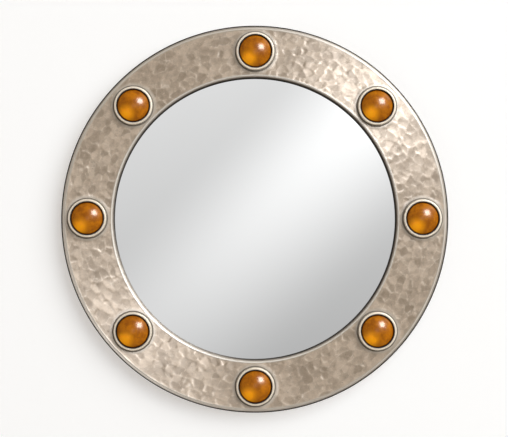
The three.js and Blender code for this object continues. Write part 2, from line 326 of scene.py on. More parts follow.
def tone_group():
    """A colour made lighter and darker in soft patches."""
    tree, given, out = new_group(
        "uneven_tone",
        "ShaderNodeTree",
        {"Vector": "Vector", "Colour": "Color", "Scale": "Float", "Amount": "Float"},
        {"Colour": "Color"},
    )
    patches = noise(tree, given["Vector"], given["Scale"], *PATCH_NOISE)
    shift = calc(tree, "MULTIPLY", calc(tree, "SUBTRACT", patches, 0.5), given["Amount"])
    level = calc(tree, "ADD", 1.0, calc(tree, "MULTIPLY", shift, 2.0))
    grey = add(tree, "ShaderNodeCombineColor", {"Red": level, "Green": level, "Blue": level})
    feed(tree, out["Colour"], mix_colour(tree, 1.0, given["Colour"], grey.outputs[0], "MULTIPLY"))
    return tree


def grain_group():
    """Fine roughness of a surface: a height for a Bump node, and a mask for colour."""
    tree, given, out = new_group(
        "fine_grain",
        "ShaderNodeTree",
        {"Vector": "Vector", "Scale": "Float", "Pits": "Float"},
        {"Height": "Float", "Pit": "Float"},
    )
    height = noise(tree, given["Vector"], given["Scale"], *GRAIN_NOISE)
    coarser = calc(tree, "MULTIPLY", given["Scale"], PIT_COARSENESS)
    spots = remap(tree, cells(tree, given["Vector"], coarser)["Distance"], *PIT_EDGE_SPAN)
    rare = remap(tree, noise(tree, given["Vector"], PIT_AREAS), *PIT_AREA_SPAN)
    pit = calc(tree, "MULTIPLY", calc(tree, "MULTIPLY", spots, rare), given["Pits"])
    feed(tree, out["Height"], calc(tree, "SUBTRACT", height, pit))
    feed(tree, out["Pit"], pit)
    return tree


def turning_group():
    """Fine lines round the axis that a turned or spun piece keeps from its tool."""
    tree, given, out = new_group(
        "turning_lines",
        "ShaderNodeTree",
        {"Vector": "Vector", "Fineness": "Float"},
        {"Height": "Float"},
    )
    split = split_vector(tree, given["Vector"])
    across = calc(tree, "SUBTRACT", length_of(tree, split["X"], split["Z"]), split["Y"])
    turned_by = calc(tree, "ARCTAN2", split["Z"], split["X"])
    place = join_vector(
        tree,
        X=calc(tree, "MULTIPLY", across, given["Fineness"]),
        Y=calc(tree, "COSINE", turned_by),
        Z=calc(tree, "SINE", turned_by),
    )
    feed(tree, out["Height"], noise(tree, place, *TURNED_NOISE))
    return tree


def scratch_group():
    """Thin scattered scratches, all leaning one way."""
    tree, given, out = new_group(
        "scratches",
        "ShaderNodeTree",
        {"Vector": "Vector", "Scale": "Float", "Stretch": "Vector"},
        {"Mask": "Float"},
    )
    place = vector_calc(tree, "MULTIPLY", given["Vector"], given["Stretch"])
    lines = noise(tree, place, given["Scale"], *SCRATCH_NOISE)
    off_line = calc(tree, "ABSOLUTE", calc(tree, "SUBTRACT", lines, 0.5))
    thin = remap(tree, off_line, *SCRATCH_WIDTH_SPAN)
    some = remap(tree, noise(tree, given["Vector"], SCRATCH_AREAS), *SCRATCH_AREA_SPAN)
    feed(tree, out["Mask"], calc(tree, "MULTIPLY", thin, some))
    return tree


UNEVEN_TONE = tone_group()
FINE_GRAIN = grain_group()
TURNING_LINES = turning_group()
SCRATCHES = scratch_group()


def uneven(tree, vector, base, scale, amount):
    """The colour, through the shared uneven tone."""
    inputs = {"Vector": vector, "Colour": base, "Scale": scale, "Amount": amount}
    return use_group(tree, UNEVEN_TONE, inputs)["Colour"]


def grain(tree, vector, scale, pits=0.0):
    """The shared fine grain's outputs."""
    return use_group(tree, FINE_GRAIN, {"Vector": vector, "Scale": scale, "Pits": pits})


def turning_lines(tree, vector, fineness):
    """The shared turning lines' height."""
    return use_group(tree, TURNING_LINES, {"Vector": vector, "Fineness": fineness})["Height"]


def scratches(tree, vector, scale, stretch):
    """The shared scratches' mask."""
    return use_group(tree, SCRATCHES, {"Vector": vector, "Scale": scale, "Stretch": stretch})["Mask"]


def bump(tree, height, depth, normal=None):
    """A Bump node's normal, from a height whose unit stands depth metres proud."""
    inputs = {"Height": height, "Distance": depth, "Strength": 1.0}
    if normal is not None:
        inputs["Normal"] = normal
    return add(tree, "ShaderNodeBump", inputs).outputs[0]


# ---------------------------------------------------------------- materials


def finished(recipe):
    """A material from its recipe, which says what goes into the Principled shader's sockets.

    A recipe is called with the material's tree and the place on the piece.
    """
    material = bpy.data.materials.new(recipe.__name__)
    material.use_nodes = True
    tree = material.node_tree
    place = tree.nodes.new("ShaderNodeTexCoord").outputs["Object"]
    feed_all(tree, tree.nodes["Principled BSDF"], recipe(tree, place))
    return material


def attribute(tree, name, output="Fac"):
    """An attribute stored on the piece."""
    return add(tree, "ShaderNodeAttribute", attribute_name=name).outputs[output]


MIDDLE_GREY = (0.5, 0.5, 0.5)
WANDER_SCALE = 60.0                # what makes the marks' borders wander, and how far
WANDER_REACH = 6 * MM
DIMPLE_FINENESS = 1.7              # small dimples against the marks
MARK_SOFTNESS = 0.16
DIMPLE_SOFTNESS = 0.25
TONE_SOFTNESS = 0.5
MARK_SHARE = 1.1
DIMPLE_SHARE = 0.35


def hammer_marks(tree, position):
    """The pattern of hammer marks at a position, in a geometry tree or in a material.

    Gives each mark's dished height, its random lean, its own tone and how far off its edge is.
    """
    split = split_vector(tree, position)
    turned_by = calc(tree, "ARCTAN2", split["Z"], split["X"])
    radius = length_of(tree, split["X"], split["Z"])
    middle = (SIGHT_RADIUS + OUTER_RADIUS) / 2
    rolled = join_vector(
        tree,
        X=calc(tree, "MULTIPLY", calc(tree, "COSINE", turned_by), middle),
        Y=calc(tree, "MULTIPLY", calc(tree, "SINE", turned_by), middle),
        Z=calc(tree, "MULTIPLY", radius, MARK_STRETCH),
    )
    place = vector_calc(tree, "ADD", rolled, MARK_PATTERN)
    wander = add(tree, "ShaderNodeTexNoise", {"Vector": place, "Scale": WANDER_SCALE, "Detail": 1.0})
    shifted = vector_calc(tree, "SUBTRACT", wander.outputs["Color"], MIDDLE_GREY)
    place = vector_calc(tree, "MULTIPLY_ADD", shifted, (WANDER_REACH,) * 3, place)

    large = cells(tree, place, 1 / MARK_SIZE, MARK_SOFTNESS, "SMOOTH_F1")
    small = cells(tree, place, DIMPLE_FINENESS / MARK_SIZE, DIMPLE_SOFTNESS, "SMOOTH_F1")
    soft = cells(tree, place, 1 / MARK_SIZE, TONE_SOFTNESS, "SMOOTH_F1")
    edge = cells(tree, place, 1 / MARK_SIZE, feature="DISTANCE_TO_EDGE")["Distance"]
    dished = calc(tree, "MULTIPLY", calc(tree, "POWER", large["Distance"], 2.0), MARK_SHARE)
    dimpled = calc(tree, "POWER", small["Distance"], 2.0)
    height = calc(tree, "MULTIPLY_ADD", dimpled, DIMPLE_SHARE, dished, clamp=True)
    from_middle = vector_calc(tree, "SUBTRACT", place, large["Position"])
    random_way = vector_calc(tree, "SUBTRACT", large["Color"], MIDDLE_GREY)
    return height, dot(tree, from_middle, random_way), split_vector(tree, soft["Color"])["Y"], edge


HAMMERED_GRAIN = (900.0, 0.8)
BROAD_CLOUDS = (22.0, 3.0, 0.55)
FINE_CLOUDS = (150.0, 4.0, 0.65)
BROAD_CLOUD_SHARE = 0.6
FINE_CLOUD_SHARE = 0.8
MARK_TONE_SHARE = 0.42
MARK_HEIGHT_SHARE = 0.18
PALENESS_SPAN = (0.57, 1.34)
CREASE_WIDTH_SPAN = (0.07, 0.0)
CREASE_AREA_SPAN = (0.42, 0.66)
CREASE_HIGHLIGHT_STRENGTH = 0.52
HOLLOW_TONE = colour(0.425, 0.318, 0.220)
RIDGE_TONE = colour(0.76, 0.595, 0.442)
# The crease colour below is a painted highlight where ridges between marks catch the light.
CREASE_HIGHLIGHT_TONE = colour(0.95, 0.82, 0.68)
METAL_PIT_TONE = colour(0.19, 0.145, 0.105)
SMOOTH_EDGE_TONE = colour(0.66, 0.56, 0.45)
# The crest colour below is wear with a painted highlight.
WORN_HIGHLIGHT_TONE = colour(1.0, 0.92, 0.81)
# The near-black colour below is painted shade.
PAINTED_SHADE_TONE = colour(0.018, 0.014, 0.010)
POLISH_SPAN = (0.0, 1.0, 0.50, 0.42)
PAINTED_SHADE_ROUGHNESS = 0.3              # added where shade is painted dark
PAINTED_SHADE_METALLIC = 0.63
HAMMERED_METALLIC = 0.35
HAMMERED_LINES = 900.0


def hammered_paleness(tree, place, height, tone, patches):
    """How pale the beaten metal is: in clouds, by each mark's own tone and on its raised parts."""
    broad = noise(tree, place, *BROAD_CLOUDS)
    cloudy = calc(tree, "MULTIPLY_ADD", patches, FINE_CLOUD_SHARE,
                  calc(tree, "MULTIPLY", broad, BROAD_CLOUD_SHARE))
    toned = calc(tree, "MULTIPLY_ADD", tone, MARK_TONE_SHARE, cloudy)
    return remap(tree, calc(tree, "MULTIPLY_ADD", height, MARK_HEIGHT_SHARE, toned), *PALENESS_SPAN)


def hammered_metal(tree, place):
    """Beaten sheet brown in patches; painted highlight on creases and worn crests, painted shade at lip
    and skirt.
    """
    height, _, tone, edge = hammer_marks(tree, place)
    beaten = attribute(tree, "beaten")
    painted_shade = attribute(tree, "painted_shade")
    marks = grain(tree, place, *HAMMERED_GRAIN)
    patches = noise(tree, place, *FINE_CLOUDS)
    paleness = hammered_paleness(tree, place, height, tone, patches)
    crease_highlight = calc(tree, "MULTIPLY", remap(tree, edge, *CREASE_WIDTH_SPAN),
                  remap(tree, patches, *CREASE_AREA_SPAN))
    base = mix_colour(tree, paleness, HOLLOW_TONE, RIDGE_TONE)
    base = mix_colour(tree, calc(tree, "MULTIPLY", crease_highlight, CREASE_HIGHLIGHT_STRENGTH), base, CREASE_HIGHLIGHT_TONE)
    base = mix_colour(tree, marks["Pit"], base, METAL_PIT_TONE)
    base = uneven(tree, place, base, scale=620.0, amount=0.16)
    smooth_edge = uneven(tree, place, SMOOTH_EDGE_TONE, scale=60.0, amount=0.14)
    base = mix_colour(tree, beaten, smooth_edge, base)
    base = mix_colour(tree, attribute(tree, "worn_highlight"), base, WORN_HIGHLIGHT_TONE)
    polish = remap(tree, paleness, *POLISH_SPAN, smooth=False)
    lines = turning_lines(tree, place, HAMMERED_LINES)
    unbeaten_lines = calc(tree, "MULTIPLY", lines, calc(tree, "SUBTRACT", 1.0, beaten))
    rough = bump(tree, marks["Height"], depth=0.06 * MM)
    around = add(tree, "ShaderNodeTangent", direction_type="RADIAL", axis="Y")
    return {
        "Base Color": mix_colour(tree, painted_shade, base, PAINTED_SHADE_TONE),
        "Roughness": calc(tree, "MULTIPLY_ADD", painted_shade, PAINTED_SHADE_ROUGHNESS, polish),
        "Metallic": calc(tree, "MULTIPLY_ADD", painted_shade, PAINTED_SHADE_METALLIC, HAMMERED_METALLIC),
        "IOR": 2.4,
        "Anisotropic": 0.82,
        "Anisotropic Rotation": 0.25,
        "Tangent": around.outputs[0],
        "Normal": bump(tree, unbeaten_lines, depth=0.10 * MM, normal=rough),
    }


POLISHED_TONE = colour(0.97, 0.845, 0.68)
CUP_SHADE_TONE = colour(0.06, 0.045, 0.032)
BEZEL_LINES = 2600.0
BEZEL_GRAIN = 1600.0
BEZEL_ROUGHNESS_SPAN = (0.3, 0.7, 0.38, 0.50)


def bezel_metal(tree, place):
    """Turned metal, polished on the rim, with painted shade down in the cup and round its foot."""
    bright = uneven(tree, place, POLISHED_TONE, scale=140.0, amount=0.10)
    lines = turning_lines(tree, attribute(tree, "local", "Vector"), BEZEL_LINES)
    rough = bump(tree, grain(tree, place, BEZEL_GRAIN)["Height"], depth=0.02 * MM)
    return {
        "Base Color": mix_colour(tree, attribute(tree, "sunk"), bright, CUP_SHADE_TONE),
        "Metallic": 0.30,
        "Roughness": remap(tree, lines, *BEZEL_ROUGHNESS_SPAN),
        "Normal": bump(tree, lines, depth=0.05 * MM, normal=rough),
    }


AMBER_CLOUDS = (120.0, 4.0, 0.60)
AMBER_FLECKS = (520.0, 3.0, 0.6)
AMBER_CLOUD_SPAN = (0.30, 0.68)
AMBER_FLECK_SPAN = (0.58, 0.7)
AMBER_FLECK_STRENGTH = 0.25
AMBER_GLOW_MIDDLE = (-0.46, -0.54)  # in radii of the cabochon, from its middle
AMBER_GLOW_WANDER = 0.45
AMBER_GLOW_SPAN = (0.72, 0.05)
AMBER_RIM_SHADE_SPAN = (0.93, 0.985)
AMBER_DARK = colour(0.35, 0.092, 0.0)
AMBER_LIGHT = colour(0.59, 0.182, 0.0)
AMBER_FLECK = colour(0.78, 0.29, 0.0)
# The glow colour below is painted light low on the dome, the rim colour after it is painted shade, and
# the emitted colour after that makes the painted glow shine.
AMBER_PAINTED_GLOW = colour(0.94, 0.37, 0.0)
AMBER_RIM_SHADE = colour(0.10, 0.024, 0.0)
AMBER_PAINTED_GLOW_LIGHT = colour(0.30, 0.095, 0.0)
UNLIT = colour(0.0, 0.0, 0.0)


def painted_amber_glow(tree, split, clouds):
    """A painted glow low on the side of the dome away from the light, with an unsteady border."""
    across = calc(tree, "SUBTRACT", split["X"], AMBER_GLOW_MIDDLE[0])
    up = calc(tree, "SUBTRACT", split["Z"], AMBER_GLOW_MIDDLE[1])
    shift = calc(tree, "SUBTRACT", clouds, 0.5)
    away = calc(tree, "MULTIPLY_ADD", shift, AMBER_GLOW_WANDER, length_of(tree, across, up))
    return remap(tree, away, *AMBER_GLOW_SPAN)


def amber_glass(tree, place):
    """Clouded amber: painted shade at its rim, and a painted, shining glow low on the side away from
    the light.
    """
    split = split_vector(tree, attribute(tree, "local", "Vector"))
    clouds = noise(tree, place, *AMBER_CLOUDS)
    flecks = remap(tree, noise(tree, place, *AMBER_FLECKS), *AMBER_FLECK_SPAN)
    glow = painted_amber_glow(tree, split, clouds)
    # Painted shade at the rim, where the bezel shades the glass.
    rim = remap(tree, length_of(tree, split["X"], split["Z"]), *AMBER_RIM_SHADE_SPAN)
    body = mix_colour(tree, remap(tree, clouds, *AMBER_CLOUD_SPAN), AMBER_DARK, AMBER_LIGHT)
    body = mix_colour(tree, calc(tree, "MULTIPLY", flecks, AMBER_FLECK_STRENGTH), body, AMBER_FLECK)
    body = mix_colour(tree, glow, body, AMBER_PAINTED_GLOW)
    # The emission makes the painted glow shine, except at the rim's painted shade.
    lit = calc(tree, "MULTIPLY", glow, calc(tree, "SUBTRACT", 1.0, rim))
    return {
        "Base Color": mix_colour(tree, rim, body, AMBER_RIM_SHADE),
        "Emission Color": mix_colour(tree, lit, UNLIT, AMBER_PAINTED_GLOW_LIGHT),
        "Emission Strength": 1.0,
        "Roughness": 0.21,
        "IOR": 1.66,
        "Specular Tint": colour(1.0, 0.95, 0.84),
        "Normal": bump(tree, clouds, depth=0.03 * MM),
    }


SILVER_TONE = colour(0.955, 0.96, 0.96)
HAZE_NOISE = (9.0, 3.0, 0.6)
HAZE_SPAN = (0.3, 0.7, 0.012, 0.035)


def mirror_silver(tree, place):
    """Silvered glass with the faintest haze."""
    return {
        "Base Color": uneven(tree, place, SILVER_TONE, scale=14.0, amount=0.006),
        "Metallic": 1.0,
        "Roughness": remap(tree, noise(tree, place, *HAZE_NOISE), *HAZE_SPAN),
    }


BOARD_GRAIN = (1500.0, 0.5)
BOARD_TONE = colour(0.42, 0.285, 0.165)
BOARD_FIBRE_TONE = colour(0.52, 0.38, 0.24)
BOARD_SPECK_TONE = colour(0.2, 0.12, 0.06)
BOARD_FIBRE_SPAN = (0.35, 0.7)
BOARD_ROUGHNESS_SPAN = (0.3, 0.7, 0.78, 0.92)


def fibreboard(tree, place):
    """Pressed fibreboard, fuzzy and slightly speckled."""
    fibres = grain(tree, place, *BOARD_GRAIN)
    base = uneven(tree, place, BOARD_TONE, scale=70.0, amount=0.12)
    fuzz = remap(tree, fibres["Height"], *BOARD_FIBRE_SPAN)
    base = mix_colour(tree, fuzz, base, BOARD_FIBRE_TONE)
    return {
        "Base Color": mix_colour(tree, fibres["Pit"], base, BOARD_SPECK_TONE),
        "Roughness": remap(tree, fibres["Height"], *BOARD_ROUGHNESS_SPAN),
        "Normal": bump(tree, fibres["Height"], depth=0.15 * MM),
    }


SCREEN_PITCH = 1.9 * MM
SCREEN_SPAN = (-0.2, 1.0, 0.0, 0.45)
SCREEN_HEIGHT = 0.35               # against the fibres' height
HARDBOARD_GRAIN = (700.0, 0.6)
HARDBOARD_TONE = colour(0.165, 0.085, 0.043)
HARDBOARD_RAISED_TONE = colour(0.25, 0.145, 0.08)
HARDBOARD_FIBRE_TONE = colour(0.30, 0.19, 0.11)
HARDBOARD_FIBRE_SPAN = (0.55, 0.8)
HARDBOARD_ROUGHNESS_SPAN = (0.3, 0.7, 0.62, 0.8)


def hardboard(tree, place):
    """Dark hardboard with the screen's mesh pressed into its rough side."""
    split = split_vector(tree, place)
    waves = [calc(tree, "SINE", calc(tree, "MULTIPLY", split[axis], 2 * math.pi / SCREEN_PITCH))
             for axis in ("X", "Z")]
    screen = calc(tree, "MAXIMUM", *waves)
    fibres = grain(tree, place, *HARDBOARD_GRAIN)["Height"]
    base = uneven(tree, place, HARDBOARD_TONE, scale=30.0, amount=0.22)
    base = mix_colour(tree, remap(tree, screen, *SCREEN_SPAN), base, HARDBOARD_RAISED_TONE)
    fuzz = remap(tree, fibres, *HARDBOARD_FIBRE_SPAN)
    height = calc(tree, "MULTIPLY_ADD", screen, SCREEN_HEIGHT, fibres)
    return {
        "Base Color": mix_colour(tree, fuzz, base, HARDBOARD_FIBRE_TONE),
        "Roughness": remap(tree, fibres, *HARDBOARD_ROUGHNESS_SPAN),
        "Normal": bump(tree, height, depth=0.12 * MM),
    }


FOAM_CELLS = 700.0
FOAM_WALL_SPAN = (0.1, 0.6)
FOAM_TONE = colour(0.80, 0.79, 0.75)
FOAM_WALL_TONE = colour(0.66, 0.65, 0.61)
FOAM_ROUGHNESS_SPAN = (0.0, 1.0, 0.8, 0.95)


def foam(tree, place):
    """White packing foam with small closed cells."""
    walls = remap(tree, cells(tree, place, FOAM_CELLS)["Distance"], *FOAM_WALL_SPAN)
    base = mix_colour(tree, walls, FOAM_TONE, FOAM_WALL_TONE)
    return {
        "Base Color": uneven(tree, place, base, scale=40.0, amount=0.06),
        "Roughness": remap(tree, walls, *FOAM_ROUGHNESS_SPAN),
        "Normal": bump(tree, walls, depth=0.2 * MM),
    }


SPANGLE_CELLS = 420.0
ZINC_DARK = colour(0.50, 0.50, 0.50)
ZINC_LIGHT = colour(0.66, 0.66, 0.64)
ZINC_SCRATCH = colour(0.82, 0.82, 0.80)
ZINC_ROUGHNESS_SPAN = (0.0, 1.0, 0.30, 0.44)
SCRATCH_STRETCH = (1.0, 1.0, 9.0)


def plated_steel(tree, place):
    """Zinc-plated steel, softly mottled and lightly scratched."""
    spangle = cells(tree, place, SPANGLE_CELLS)["Color"]
    tone = add(tree, "ShaderNodeSeparateColor", {0: spangle}).outputs[0]
    base = mix_colour(tree, tone, ZINC_DARK, ZINC_LIGHT)
    base = uneven(tree, place, base, scale=90.0, amount=0.18)
    scratched = scratches(tree, place, scale=300.0, stretch=SCRATCH_STRETCH)
    return {
        "Base Color": mix_colour(tree, scratched, base, ZINC_SCRATCH),
        "Metallic": 0.9,
        "Roughness": remap(tree, tone, *ZINC_ROUGHNESS_SPAN),
        "Normal": bump(tree, scratched, depth=-0.03 * MM),
    }


RUBBER_GRAIN = (1300.0, 0.3)
DUST_NOISE = (200.0, 4.0, 0.7)
DUST_SPAN = (0.5, 0.75, 0.0, 0.4)
RUBBER_TONE = colour(0.022, 0.022, 0.023)
DUST_TONE = colour(0.11, 0.105, 0.10)
RUBBER_ROUGHNESS_SPAN = (0.0, 0.4, 0.55, 0.8)


def rubber(tree, place):
    """Black moulded rubber, dusty and matt."""
    dust = remap(tree, noise(tree, place, *DUST_NOISE), *DUST_SPAN)
    return {
        "Base Color": mix_colour(tree, dust, RUBBER_TONE, DUST_TONE),
        "Roughness": remap(tree, dust, *RUBBER_ROUGHNESS_SPAN),
        "Normal": bump(tree, grain(tree, place, *RUBBER_GRAIN)["Height"], depth=0.05 * MM),
    }


MATERIALS = {
    "hammered_metal": finished(hammered_metal),
    "bezel_metal": finished(bezel_metal),
    "amber_glass": finished(amber_glass),
    "mirror": finished(mirror_silver),
    "fibreboard": finished(fibreboard),
    "hardboard": finished(hardboard),
    "foam": finished(foam),
    "plated_steel": finished(plated_steel),
    "rubber": finished(rubber),
}

# ---------------------------------------------------------------- mesh shapes

SHARP_ANGLE = 35.0                 # degrees; gentler edges are shaded smooth


def round_angles(count):
    """Angles all the way round, in even steps."""
    return [2 * math.pi * step / count for step in range(count)]


def arc(centre, radius, start, end, steps):
    """Points on a round stretch of a section, from start to end in degrees."""
    angles = [math.radians(start + (end - start) * step / steps) for step in range(steps + 1)]
    return [(centre[0] + radius * math.cos(a), centre[1] + radius * math.sin(a)) for a in angles]


def rounded(corners, steps=4):
    """A section whose corners, (across, along, radius), are rounded off. Both ends stay put."""
    points = [corners[0][:2]]
    for before, corner, after in zip(corners, corners[1:], corners[2:]):
        here, back, on = (Vector(point[:2]) for point in (corner, before, after))
        reach = corner[2]
        if not reach:
            points.append(tuple(here))
            continue
        back = here + (back - here).normalized() * reach
        on = here + (on - here).normalized() * reach
        for step in range(steps + 1):
            t = step / steps
            bend = back * (1 - t) ** 2 + here * 2 * t * (1 - t) + on * t ** 2
            points.append(tuple(bend))
    points.append(corners[-1][:2])
    return points


def ring_of(radius, depth, segments, place=(0.0, 0.0)):
    """A circle of points at a depth, or one point where the radius is nothing."""
    if radius < TINY:
        return [Vector((place[0], -depth, place[1]))]
    return [
        Vector((place[0] + radius * math.cos(a), -depth, place[1] + radius * math.sin(a)))
        for a in round_angles(segments)
    ]


def new_object(name, data):
    """An object in the scene that shows the data."""
    item = bpy.data.objects.new(name, data)
    bpy.context.scene.collection.objects.link(item)
    return item


def new_mesh(name, vertices, faces):
    """A mesh from its points and faces."""
    mesh = bpy.data.meshes.new(name)
    mesh.from_pydata(vertices, [], faces)
    return mesh


def band(here, there, count, other):
    """The faces between two rings of points, either of which may be one point, by first index."""
    faces = []
    most = max(count, other)
    for step in range(most):
        on = (step + 1) % most
        if count == 1:
            faces.append((here, there + step, there + on))
        elif other == 1:
            faces.append((here + step, there, here + on))
        else:
            faces.append((here + step, there + step, there + on, here + on))
    return faces


def skin(name, rings, loop=False):
    """A closed mesh through rings of points: a tube whose ends are capped, or join up."""
    vertices, firsts = [], []
    for ring in rings:
        firsts.append(len(vertices))
        vertices.extend(ring)
    faces = []
    last = len(rings) - 1
    for index in range(last + 1 if loop else last):
        following = (index + 1) % len(rings)
        sizes = len(rings[index]), len(rings[following])
        faces += band(firsts[index], firsts[following], *sizes)
    if not loop:
        for index in (0, last):
            if len(rings[index]) > 1:
                faces.append(tuple(range(firsts[index], firsts[index] + len(rings[index]))))
    return finished_mesh(name, new_mesh(name, vertices, faces))


def finished_mesh(name, mesh):
    """The mesh as an object, its faces pointing outwards and its sharp edges kept sharp."""
    work = bmesh.new()
    work.from_mesh(mesh)
    bmesh.ops.recalc_face_normals(work, faces=work.faces)
    work.to_mesh(mesh)
    work.free()
    mesh.shade_smooth()
    mesh.set_sharp_from_angle(angle=math.radians(SHARP_ANGLE))
    return new_object(name, mesh)


def turned(name, section, segments, place=(0.0, 0.0), loop=False):
    """A turned piece from its section, a list of (radius, depth)."""
    rings = [ring_of(radius, depth, segments, place) for radius, depth in section]
    return skin(name, rings, loop)


def store(piece, name, share):
    """A number for each point of the piece, worked out from its place, for its material."""
    layer = piece.data.attributes.new(name, "FLOAT", "POINT")
    layer.data.foreach_set("value", [share(vertex.co) for vertex in piece.data.vertices])


def store_local(piece, place, size):
    """Each point's place from the piece's own axis, as a share of the size."""
    layer = piece.data.attributes.new("local", "FLOAT_VECTOR", "POINT")
    values = []
    for point in (vertex.co for vertex in piece.data.vertices):
        values += [(point.x - place[0]) / size, point.y / size, (point.z - place[1]) / size]
    layer.data.foreach_set("vector", values)


def dress(piece, slot_name, body, *nodes):
    """Gives a finished piece its material, body and slot, and the nodes that it stands for."""
    if not piece.data.materials:
        piece.data.materials.append(MATERIALS[slot_name])
    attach(piece, body)
    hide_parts(*nodes)


def dress_node(node, slot_name):
    """Gives a node that is shown as it is its procedural material."""
    materials = frame["nodes"][node].data.materials
    materials.clear()
    materials.append(MATERIALS[slot_name])


def close_tree(tree, out, geometry, material):
    """Ends a geometry tree: instances made real, then the material."""
    real = add(tree, "GeometryNodeRealizeInstances", {"Geometry": geometry})
    finish = add(tree, "GeometryNodeSetMaterial", {"Geometry": real.outputs[0], "Material": material})
    feed(tree, out["Geometry"], finish.outputs[0])


def settle(piece, tree, values):
    """Runs a geometry tree on the piece with named values, and keeps the plain mesh."""
    modifier = piece.modifiers.new(tree.name, "NODES")
    modifier.node_group = tree
    for item in tree.interface.items_tree:
        if item.in_out == "INPUT" and item.name in values:
            modifier[item.identifier] = values[item.name]
    seen = piece.evaluated_get(bpy.context.evaluated_depsgraph_get())
    mesh = bpy.data.meshes.new_from_object(seen)
    piece.modifiers.remove(modifier)
    piece.data = mesh


def ease(value, start, end):
    """0 before start and 1 past end, with a smooth change between."""
    t = min(max((value - start) / (end - start), 0.0), 1.0)
    return t * t * (3 - 2 * t)


def ease_past(value, line, span):
    """The same, with start and end given as a span of distances past a line."""
    return ease(value, line + span[0], line + span[1])


# ---------------------------------------------------------------- hammered ring


def outer_edge_section():
    """The sheet from its hem's edge round the skirt to the flange."""
    hem = rounded([
        (HEM_EDGE, SHEET_THICKNESS / 2, 0),
        (HEM_EDGE, 0, HEM_CORNER),
        (HEM_CENTRE[0], 0, 0),
    ], steps=3)
    return [
        *hem[:-1],
        *arc(HEM_CENTRE, HEM_ROUND, -90, 0, steps=5),
        *arc(EDGE_CENTRE, EDGE_ROUND, 0, 90, steps=9),
    ]


def face_section():
    """The sheet's face from the flange over its step and across the flat, up to the lip."""
    flange = rounded([
        (EDGE_CENTRE[0], FLANGE_DEPTH, 0),
        (FLANGE_START, FLANGE_DEPTH, FLANGE_CORNER),
        (FLAT_START, FACE_DEPTH, FLAT_CORNER),
        (FLAT_START - FLAT_STEP, FACE_DEPTH, 0),
    ], steps=2)
    steps = round((FLAT_START - FLAT_END) / FLAT_STEP)
    flat = [(FLAT_START + (FLAT_END - FLAT_START) * step / steps, FACE_DEPTH)
            for step in range(1, steps)]
    return [*flange[1:-1], *flat]


def lip_section():
    """The lip from the face down to the glass."""
    return rounded([
        (FLAT_END + FLAT_STEP, FACE_DEPTH, 0),
        (FLAT_END, FACE_DEPTH, LIP_CREST_CORNER),
        (SIGHT_RADIUS + LIP_STEEP, FACE_DEPTH - LIP_SHALLOW_DROP, LIP_BEND_CORNER),
        (SIGHT_RADIUS, LEDGE_DEPTH + LIP_TOE, LIP_TOE_CORNER),
        (SIGHT_RADIUS, LEDGE_DEPTH, 0),
    ])[1:]


def inner_side_section():
    """The sheet's inner side, from the lip's foot back to the hem's edge."""
    inside = SHEET_THICKNESS
    return [
        (SIGHT_RADIUS + inside, LEDGE_DEPTH),
        (SIGHT_RADIUS + inside, LEDGE_DEPTH + LIP_TOE),
        (SIGHT_RADIUS + LIP_STEEP + inside, FACE_DEPTH - LIP_SHALLOW_DROP - inside / 2),
        (FLAT_END + inside / 2, FACE_DEPTH - inside),
        (EDGE_CENTRE[0], FLANGE_DEPTH - inside),
        (EDGE_CENTRE[0] + EDGE_ROUND - inside, EDGE_CENTRE[1]),
        *reversed(arc(HEM_CENTRE, HEM_ROUND - inside, -90, 0, steps=3)),
        (HEM_EDGE, inside),
    ]


# Spans of distances past a line; less than nothing is inside it.
LIP_MARGIN = (0.4 * MM, 1.8 * MM)  # past the lip, where the hammer marks start and are full
STEP_MARGIN = (-1.8 * MM, -0.2 * MM)  # short of the step, where they start to fade and end
HALO = (0.6 * MM, 4.2 * MM)        # past each bezel's foot, where they start and are full


def beaten_share(point, bezels):
    """How far the hammer reached at a point of the ring: 1 on the open face, 0 at its borders."""
    radius = math.hypot(point.x, point.z)
    if point.y > -FACE_DEPTH + TINY:
        return 0.0
    share = ease_past(radius, FLAT_END, LIP_MARGIN)
    share *= 1 - ease_past(radius, FLAT_START, STEP_MARGIN)
    for (x, z), foot in bezels:
        share *= ease_past(math.hypot(point.x - x, point.z - z), foot, HALO)
    return share


# Painted shade: a dark line deep in the lip, lightened at the lower left where light falls, and a dark
# outline down the skirt.
LIP_SHADE = (1.2 * MM, 2.4 * MM)   # past the sight edge, full and gone
LIT_SIDE_LEAN = (1.02, 1.35)         # span of -(x + z) / radius, greatest at the lower left
LIT_SIDE_LIGHTENING = 0.3                 # how much of the lip's painted shade is taken off there, where light falls on it
SKIRT_SHADE = (-2.3 * MM, -1.2 * MM)  # short of the outer edge, none and full
SKIRT_FADE = (-6.5 * MM, -3.5 * MM)  # behind the face, faded and full
SKIRT_LEAST = 0.5                  # what is left of it where it is faded
PAINTED_SHADE_MOST = 0.97


def painted_shade_share(point):
    """Painted shade at a point of the ring: deep in the lip, lighter at the lower left, and down the
    skirt.
    """
    radius = math.hypot(point.x, point.z)
    lip = 1 - ease_past(radius, SIGHT_RADIUS, LIP_SHADE)
    lit_side = ease(-(point.x + point.z) / radius, *LIT_SIDE_LEAN)
    skirt = ease_past(radius, OUTER_RADIUS, SKIRT_SHADE)
    forward = ease_past(-point.y, FACE_DEPTH, SKIRT_FADE)
    skirt *= SKIRT_LEAST + (1 - SKIRT_LEAST) * forward
    return PAINTED_SHADE_MOST * max(lip * (1 - LIT_SIDE_LIGHTENING * lit_side), skirt)


CREST_INSET = 0.1 * MM             # how far inside the flat's end the lip's crest lies
LIP_HIGHLIGHT = (0.3 * MM, 1.1 * MM)    # off the middle of the crest, full and gone
STEP_HIGHLIGHT = (0.3 * MM, 1.0 * MM)
STEP_HIGHLIGHT_MOST = 0.6


